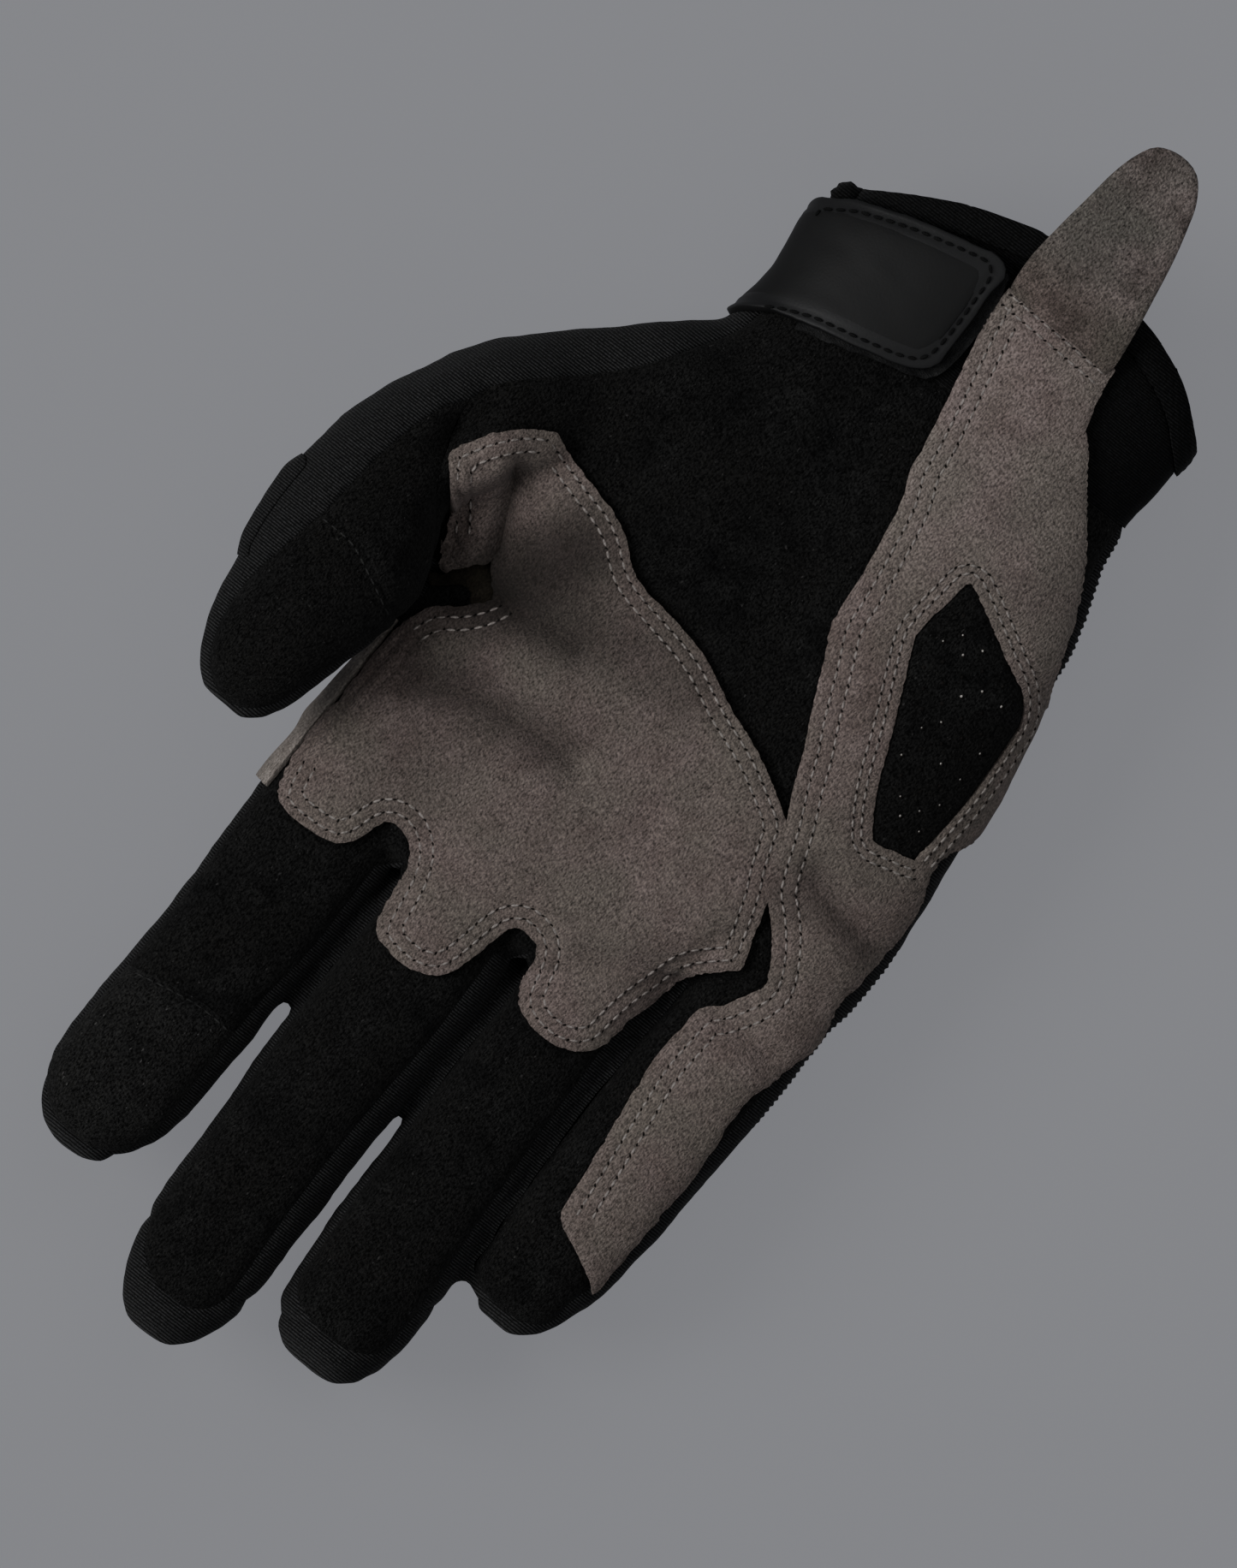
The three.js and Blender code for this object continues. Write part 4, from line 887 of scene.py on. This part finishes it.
def stitches(name, surface, rows, pitch=2.1, wide=0.5, fill=0.66, stuff=None, holes=True, down=None):
    """Thread dashes that lie in their row, with a needle hole between two stitches."""
    thread_bm, hole_bm = bmesh.new(), bmesh.new()
    for row in rows:
        for a, b in stepped(row, pitch):
            hits = []
            for p in (a, b):
                hit = surface.ray_cast(Vector((p[0], p[1], 80)), Vector((0, 0, -1)))
                hits.append(hit[0])
            if None in hits or abs(hits[0].z - hits[1].z) > 2.2:
                continue
            run = hits[1] - hits[0]
            middle = (hits[0] + hits[1]) / 2
            turn = run.to_track_quat("X", "Z").to_matrix().to_4x4()
            size = Matrix.Diagonal((run.length * fill / 2, wide / 2, wide / 2.4, 1))
            place = Matrix.Translation(middle + Vector((0, 0, 0.02)))
            bmesh.ops.create_uvsphere(thread_bm, u_segments=6, v_segments=5, radius=1,
                                      matrix=place @ turn @ size @ Matrix.Rotation(math.pi / 2, 4, "Y"))
            if holes:
                bmesh.ops.create_icosphere(hole_bm, subdivisions=1, radius=1, matrix=Matrix.Translation(
                    hits[0] + Vector((0, 0, -0.02))) @ turn @ Matrix.Rotation(math.radians(38), 4, "Z")
                    @ Matrix.Diagonal((0.42, 0.22, 0.15, 1)))
    kinds = [(name, thread_bm, stuff or thread)] + ([(name + "_holes", hole_bm, hole)] if holes else [])
    for label, bm, material in kinds:
        piece = dressed(label, bm, material, wall=0, rim=0)


def paint_shade_near(bm, runs):
    """Notes on a sheet's vertices how much painted shade darkens them near runs of points, in creases and where a
    shadow falls: runs of points, amount, half width.
    """
    spots = np.array([v.co[:2] for v in bm.verts])
    total = sum(amount * np.exp(-((distance(spots, run) / half) ** 2)) for run, amount, half in runs)
    layer = bm.verts.layers.float.new("painted_shade")
    for v, amount in zip(bm.verts, total):
        v[layer] = 1 - math.exp(-amount)


patch_line = curve(PALM_PATCH)
SLIT = [(50.5, 91), (46.8, 86.8), (43.4, 87.6)]
patch_rows = [inset(patch_line, 1.35), inset(patch_line, 3.5)]
patch_rows = [row[~((row[:, 0] > 47) & (row[:, 1] > 104) & (row[:, 1] < 131)) & (distance(row, SLIT) > 4.2)]
              for row in patch_rows]
sheet_bm = laid(patch_line, 0.35)
size = area(sheet_bm)
spots = np.array([v.co[:2] for v in sheet_bm.verts])
curl = dict(zip(sheet_bm.verts, 1.2 * np.exp(-((distance(spots, [(44.5, 85.6), (49, 88), (52, 91.5)]) / 2.6) ** 2))
                * (spots[:, 1] < 91.2 - 0.25 * (52 - spots[:, 0]))))
raised(sheet_bm, curl.get)
surface = sewn(sheet_bm, [patch_line], patch_rows)
# Painted shade on the palm patch: the thumb's shadow over the slit's region and the shade in its creases.
paint_shade_near(sheet_bm, [([(44.5, 90), (40.5, 84), (36, 75)], 1.35, 6.5), ([(42, 91), (34, 90), (26, 88)], 0.75, 4.5),
                  ([(36, 84), (22, 83.5), (8, 82)], 0.5, 7), ([(44, 109), (36, 105.5), (20, 104)], 0.6, 5),
                  ([(42, 98), (38, 112), (36, 122)], 0.4, 9), ([(47, 86), (50.6, 77), (52, 73)], 0.7, 1.6)])
patch = dressed("palm_patch", sheet_bm, grey, wall=1.2, outward=True)
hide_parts("palm_patch")
stitches("palm_patch_stitches", surface, patch_rows)

side_line, window_line = curve(SIDE_PATCH), curve(WINDOW)
side_edge = curve(SIDE_EDGE, closed=False)
side_rows = []
for amount in (2.1, 4.5):
    row = inset(side_line, amount)
    side_rows.append(row[distance(row, side_edge) < amount + 0.3])
for amount in (1.5, 3.0):
    side_rows.append(inset(window_line, -amount))
side_rows += [np.linspace((5.2, y), (-15.4, y + 0.8), 40) for y in (0.2, -1.9)]
sheet_bm = laid(side_line, 0.35, window=window_line)
size = area(sheet_bm)
surface = sewn(sheet_bm, [side_line, window_line], side_rows)
# Painted shade in the side patch's creases.
paint_shade_near(sheet_bm, [([(-26, 94), (-33, 97), (-41, 99.6)], 0.5, 2.8), ([(-24, 100), (-29, 100.5)], 0.35, 2.6),
                  ([(-20, 40), (-30, 36)], 0.15, 5)])
side = dressed("side_patch", sheet_bm, side_suede_painted_light, wall=1.2, outward=True)
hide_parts("side_patch")
stitches("side_patch_stitches", surface, side_rows)

# Lining of the slit at the thumb's web: a loop of the same suede turned inwards, in shadow.
# Its dark colour is painted shade, and the sheet also fills the slit's opening with that shade.
lining_painted_shade = bpy.data.materials.new("slit_lining")
suede(lining_painted_shade, (0.004, 0.0034, 0.0026), (0.013, 0.0108, 0.008), (0.008, 0.007, 0.005), bump=0.0002, specular=0.05)
LINING = [(53, 93.6), (50.4, 91.6), (53, 84), (46, 82), (38.6, 83), (38.4, 91.5), (41, 93.8), (44, 94.6), (45.4, 92.4),
          (47.6, 92.2), (49.6, 94), (51.6, 95.4)]
sheet_bm = laid(curve(LINING), 0.03)
size = area(sheet_bm)
piece = dressed("slit_lining", sheet_bm, lining_painted_shade, wall=0.28, outward=True, rim=0)

# Heel pad: perforated black suede in the side patch's window, over a paler mesh that shows
# as specks in the punched holes.
heel_line = inset(window_line, 0.3)
sheet_bm = laid(heel_line, 0.35)
size = area(sheet_bm)
surface = sewn(sheet_bm, [heel_line], [], thick=0.8)
pale = bpy.data.materials.new("mesh_underlay")
suede(pale, (0.1, 0.094, 0.087), (0.26, 0.245, 0.225), (0.17, 0.16, 0.147), specular=0.15)
speck_bm, dark_bm = bmesh.new(), bmesh.new()
clear = inset(heel_line, 2.0)
for row in range(18):
    for column in range(8):
        x, y = -44 + column * 4.1 + (row % 2) * 2.05, 42 + row * 2.75
        x, y = x + 0.25 * noise.noise(Vector((x, y, 0))), y + 0.25 * noise.noise(Vector((y, x, 5)))
        crossings = sum(1 for p, q in zip(clear, np.roll(clear, -1, 0))
                        if (p[1] > y) != (q[1] > y) and x < (q[0] - p[0]) * (y - p[1]) / (q[1] - p[1]) + p[0])
        if crossings % 2 == 0:
            continue
        hit = surface.ray_cast(Vector((x, y, 80)), Vector((0, 0, -1)))[0]
        if hit is None:
            continue
        bmesh.ops.create_icosphere(dark_bm, subdivisions=1, radius=1, matrix=Matrix.Translation(hit)
                                   @ Matrix.Diagonal((0.42, 0.42, 0.1, 1)))
        shows = noise.noise(Vector((x * 0.6, y * 0.6, 9)))
        if shows > 0:
            bmesh.ops.create_icosphere(speck_bm, subdivisions=1, radius=1, matrix=Matrix.Translation(
                hit + Vector((0.12, -0.08, 0.04))) @ Matrix.Diagonal((0.15 + 0.25 * shows, 0.17 + 0.25 * shows, 0.14, 1)))
pad = dressed("heel_pad", sheet_bm, black, wall=0.8, outward=True)
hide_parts("heel_pad")
for name, bm, material in (("heel_pad_holes", dark_bm, hole), ("heel_pad_mesh_specks", speck_bm, pale)):
    piece = dressed(name, bm, material, wall=0, rim=0)

# Edge patch beside the index finger, and the raised patch on the outside of the thumb: two
# short pieces, one of suede and one of knit, that turn over the glove's side.
sheet_bm = laid([(51.9, 103.4), (60, 103), (60, 136), (54.6, 138.2), (51.9, 138.8)], 0.3, low=7, high=22, fine=0)
size = area(sheet_bm)
pale_edge = bpy.data.materials.new("pale_suede")
suede(pale_edge, (0.08, 0.069, 0.062), (0.125, 0.11, 0.1), (0.1, 0.09, 0.08), bump=0.00024, specular=0.08, contrast=0.6)
piece = dressed("index_edge_patch", sheet_bm, pale_edge, wall=1.0, outward=True)
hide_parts("index_edge_patch")
sheet_bm = laid(curve([(80, 92.6), (80.8, 91.6), (90, 91.8), (90, 111), (78.9, 110.9), (79, 109), (79.8, 104), (80.1, 98)]), 0.02, low=25.4)
size = area(sheet_bm)
far = margin(sheet_bm)
raised(sheet_bm, lambda v: 1.1 * math.sin(min(1, far(v) / 4.5) * math.pi / 2))
piece = dressed("thumb_knuckle_patch", sheet_bm, knit, wall=0.25, outward=True, rim=0)
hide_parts("thumb_knuckle_patch")

# Pull tab: two layers of the same suede sewn back to back, with painted shade darkening them
# towards the root, that run on from the side patch past the cuff's edge and droop a little.
TAB = [(5.4, -1.2), (5.4, -1.2), (6.1, -3.4), (6.5, -9), (5.9, -16), (5, -23), (4.3, -28.5), (3.1, -33), (1.1, -36.4),
       (-3, -37.7), (-7, -36.7), (-9.8, -33), (-11.3, -28.5), (-12.7, -23), (-14, -16), (-15, -10), (-15.8, -3.4),
       (-15.2, -1.2), (-15.2, -1.2)]
tab_suede = bpy.data.materials.new("tab_suede")
suede(tab_suede, (0.038, 0.031, 0.028), (0.086, 0.071, 0.066), (0.05, 0.0455, 0.04), bump=0.00026, sheen=0.02, specular=0.08,
      contrast=0.85)
# Painted shade: the tab's colour darkens towards its root by the cuff's edge.
shaded(tab_suede, "Y", -0.109, -0.098, (0.82, 0.775, 0.75))
tab_line = curve(TAB)
bm = bmesh.new()
bmesh.ops.create_grid(bm, x_segments=44, y_segments=60, size=0.5)
for v in bm.verts:
    v.co = Vector((-5 + v.co.x * 26, -19 + v.co.y * 40, 0))
top = bmesh.ops.extrude_face_region(bm, geom=list(bm.faces))["geom"]
bmesh.ops.translate(bm, vec=(0, 0, 1.8), verts=[g for g in top if isinstance(g, bmesh.types.BMVert)])
bmesh.ops.recalc_face_normals(bm, faces=bm.faces)
slab = made("slab", bm)
slab.data.materials.append(tab_suede)
slab_mesh = cut(slab.data, tab_line, "INTERSECT")
bpy.data.objects.remove(slab)
bm = bmesh.new()
bm.from_mesh(slab_mesh)
ring = np.vstack([tab_line, tab_line[:1]])
for v in bm.verts:
    x, y = v.co.x, v.co.y
    far = float(distance(np.array([[x, y]]), ring)[0])
    crown = math.exp(-((far / 0.45) ** 2))
    base = float(np.interp(y, [-38, -34, -26, -16, -8, -4.5, -2.4, -1], [32.9, 33.4, 34.6, 35.9, 36.2, 35.3, 34.3, 33.9]))
    wave = 0.5 * noise.noise(Vector((x * 0.09, y * 0.09, 2))) + 0.04 * abs(x + 5) * max(0, (-y - 14) / 24)
    v.co.z = base + wave + 0.9 + (v.co.z - 0.9) * (1 - 0.45 * crown)
tab = dressed("pull_tab", bm, tab_suede, wall=0, rim=0)
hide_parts("pull_tab")

# Wrist strap: a loop pad sewn to the palm side of the cuff, a flexible strap that comes
# round from the back and closes on it, and a smooth rubber face sewn inside its raised rim.
LOOP = [(6.6, -2.4), (5.5, 5), (5.6, 12), (6.6, 16.4), (9, 18.4), (16, 20.4), (29.5, 24.5), (29.5, 24.5), (29.5, 1.5),
        (29.5, 1.5), (20, -2.4), (9, -4.2)]
STRAP_LOW = [(7.6, -5.6), (11.7, -5.6), (17.9, -3.9), (24.9, -1.7), (31.8, 1.3), (38, 4.4), (42, 6.8), (48, 10)]
STRAP_HIGH = [(7.6, 16.2), (11.2, 18.2), (14.4, 19.3), (21.4, 21.1), (28.3, 23), (34.6, 25.5), (38, 27.8), (41, 30), (48, 31)]
loops = bpy.data.materials.new("loop_pile")
suede(loops, (0.003, 0.003, 0.0031), (0.011, 0.011, 0.011), (0.006, 0.006, 0.006), pitch=0.0004, bump=0.0005, specular=0.1)
sheet_bm = laid(curve(LOOP), 0.35)
size = area(sheet_bm)
raised(sheet_bm, lambda v: 0.12 * math.sin(v.co.y * 2 * math.pi / 1.3))
piece = dressed("loop_pad", sheet_bm, loops, wall=1.0, outward=True)
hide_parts("loop_pad")


def moulded(material, dark, light, roughness, specular=0.35):
    """Satin rubber: a faint skin texture, clouding, and fingermarks in its gloss."""
    material.use_nodes = True
    nodes, link = material.node_tree.nodes, material.node_tree.links.new
    shader = nodes["Principled BSDF"]
    place = nodes.new("ShaderNodeTexCoord")
    cloud = nodes.new("ShaderNodeTexNoise")
    cloud.inputs["Scale"].default_value = 90
    cloud.inputs["Detail"].default_value = 4
    pores = nodes.new("ShaderNodeTexNoise")
    pores.inputs["Scale"].default_value = 2400
    for n in (cloud, pores):
        link(place.outputs["Object"], n.inputs["Vector"])
    link(ramp(nodes, link, cloud.outputs["Fac"], [(0.3, dark), (0.7, light)]), shader.inputs["Base Color"])
    gloss = nodes.new("ShaderNodeMapRange")
    gloss.inputs["To Min"].default_value = roughness - 0.07
    gloss.inputs["To Max"].default_value = roughness + 0.1
    link(cloud.outputs["Fac"], gloss.inputs["Value"])
    link(gloss.outputs["Result"], shader.inputs["Roughness"])
    bumps = nodes.new("ShaderNodeBump")
    bumps.inputs["Distance"].default_value = 0.00003
    link(pores.outputs["Fac"], bumps.inputs["Height"])
    link(bumps.outputs["Normal"], shader.inputs["Normal"])
    shader.inputs["Specular IOR Level"].default_value = specular


web = bpy.data.materials.new("strap_web")
moulded(web, (0.0032, 0.0032, 0.0033), (0.005, 0.005, 0.0052), 0.5, specular=0.13)
rubber = bpy.data.materials.new("strap_rubber")
moulded(rubber, (0.0036, 0.0036, 0.0036), (0.0047, 0.0047, 0.0047), 0.58, specular=0.09)
skin = BVHTree.FromPolygons([v.co for v in hand.data.vertices], [p.vertices for p in hand.data.polygons])
WRIST = Vector((14, 0, 17))


def around(angle, y):
    """The glove's skin seen from the wrist's middle, and how it faces."""
    way = Vector((math.cos(angle), 0, math.sin(angle)))
    return skin.ray_cast(WRIST + Vector((0, y, 0)), way)[:2]


def band(inwards, lift, last):
    """A strap wrapped round the wrist: a grid with rounded corners at its free end, and its rim."""
    bm = bmesh.new()
    rows = []
    for angle in np.radians(np.linspace(110.5 - inwards * 3.1, last, 64)):
        x = around(angle, 8)[0].x + max(0, 32 - math.degrees(angle)) * 0.14
        low, high = between(STRAP_LOW, x) + inwards, between(STRAP_HIGH, x) - inwards
        corner, into = 2.2, max(0, x - 7.9 - inwards)
        cut_in = corner - math.sqrt(max(0, corner**2 - max(0, corner - into) ** 2))
        row = []
        for share in np.linspace(0, 1, 30):
            y = low + cut_in + (high - low - 2 * cut_in) * share
            spot, facing = around(angle, y)
            spot.x += max(0, facing.x) * float(np.interp(y, [-6, 6, 12, 18, 24, 31], [3, 2.1, 0.3, -1.5, -1.6, -2.3]))
            crown = 0.5 * (1 - (2 * share - 1) ** 4)
            row.append(bm.verts.new(spot + facing * (lift + crown)))
        rows.append(row)
    for a, b in zip(rows[:-1], rows[1:]):
        for i in range(29):
            bm.faces.new((a[i], b[i], b[i + 1], a[i + 1]))
    for _ in range(5):
        bmesh.ops.smooth_vert(bm, verts=[v for v in bm.verts if not v.is_boundary], factor=0.5,
                              use_axis_x=True, use_axis_y=True, use_axis_z=True)
    bmesh.ops.recalc_face_normals(bm, faces=bm.faces)
    if sum(f.normal.z for f in bm.faces) < 0:
        bmesh.ops.reverse_faces(bm, faces=bm.faces)
    rim = [v.co[:2] for v in [row[-1] for row in rows[::-1]] + rows[0][::-1] + [row[0] for row in rows]]
    return bm, np.array(rim)


bm, _ = band(0, 1.5, -60)
size = area(bm)
far = margin(bm)
raised(bm, lambda v: -0.22 * math.exp(-(((far(v) - 1.7) / 0.45) ** 2)))
top = bm.copy()
raised(top, 1.75)
strap_top = BVHTree.FromBMesh(top)
strap = dressed("wrist_strap", bm, web, wall=1.5, outward=True, rim=0.45)
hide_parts("wrist_strap")
bm, _ = band(2.3, 2.85, -20)
size = area(bm)
far = margin(bm)
raised(bm, lambda v: -0.2 * math.exp(-((far(v) / 0.7) ** 2)))
face = dressed("strap_face", bm, rubber, wall=0.35, outward=True, rim=0.12)
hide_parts("strap_face")
_, strap_row = band(1.6, 1.5, -4)
black_thread = bpy.data.materials.new("black_thread")
suede(black_thread, (0.0012, 0.0012, 0.0012), (0.003, 0.003, 0.003), (0.002, 0.002, 0.002), pitch=0.0003, specular=0.1)
stitches("strap_stitches", strap_top, [strap_row], pitch=2.1, wide=0.6, fill=0.74, stuff=black_thread,
         holes=False)
seam_thread = bpy.data.materials.new("seam_thread")
suede(seam_thread, (0.008, 0.008, 0.0078), (0.02, 0.02, 0.019), (0.012, 0.012, 0.0115), pitch=0.0003, specular=0.08)
for name, line, shift in (("thumb_tip_pad", curve(thumb_seam, closed=False), (0.3, 1.0)), ("index_tip_pad", band_line, (0, 1.0))):
    stitches(name + "_stitches", tops[name], [line + np.array(shift)], pitch=1.75, wide=0.4, fill=0.7,
             stuff=seam_thread, holes=False)

# Hang loop: a short end of the binding, folded double, that stands out of the cuff's thumb
# side just past the strap.
bm = bmesh.new()
bmesh.ops.create_uvsphere(bm, u_segments=28, v_segments=16, radius=1)
for v in bm.verts:
    bulge = 1 + 0.06 * math.sin(9 * math.atan2(v.co.y, v.co.x)) + 0.1 * noise.noise(v.co * 1.7)
    v.co = Vector((36.4 + 3.2 * bulge * v.co.x, 1.9 + 2.9 * bulge * v.co.y, 20 + 4.4 * v.co.z))
hang_loop = dressed("hang_loop", bm, tape, wall=0, rim=0)

# The picture: the glove on a plain grey table, seen from straight above under a large soft
# light, with the fingers pointing down to the left.
table = bpy.data.materials.new("table")
table.use_nodes = True
table_shader = table.node_tree.nodes["Principled BSDF"]
table_shader.inputs["Base Color"].default_value = (0.03, 0.0306, 0.0324, 1)
table_shader.inputs["Emission Color"].default_value = (0.189, 0.191, 0.206, 1)
table_shader.inputs["Emission Strength"].default_value = 1.0
table_shader.inputs["Roughness"].default_value = 0.9
table_shader.inputs["Specular IOR Level"].default_value = 0.1
bm = bmesh.new()
bmesh.ops.create_grid(bm, x_segments=2, y_segments=2, size=6)
bmesh.ops.translate(bm, vec=(0, 0, -0.0004), verts=bm.verts)
floor = made("floor", bm)
floor.data.materials.append(table)
for name, place, size, power in (("key", (1.15, 0.6, 1.15), 0.9, 38), ("fill", (-0.9, 0.5, 1.5), 1.6, 7),
                                 ("top", (0.1, -0.9, 1.6), 1.4, 9)):
    light = bpy.data.lights.new(name, "AREA")
    light.energy = power
    light.size = size
    lamp = bpy.data.objects.new(name, light)
    lamp.location = place
    lamp.rotation_euler = (-Vector(place)).to_track_quat("-Z", "Y").to_euler()
    bpy.context.scene.collection.objects.link(lamp)
world = bpy.data.worlds.new("studio")
world.use_nodes = True
world.node_tree.nodes["Background"].inputs["Color"].default_value = (0.92, 0.95, 1, 1)
world.node_tree.nodes["Background"].inputs["Strength"].default_value = 0.4
bpy.context.scene.world = world
camera = bpy.data.cameras.new("camera")
camera.lens = 616.2
camera.sensor_width = 36
camera.clip_end = 20
eye = bpy.data.objects.new("camera", camera)
eye.location = (-0.0118, 0.0094, 4.5)
eye.rotation_euler = (0, 0, math.radians(-142))
bpy.context.scene.collection.objects.link(eye)
bpy.context.scene.camera = eye

bpy.data.objects.remove(hand)
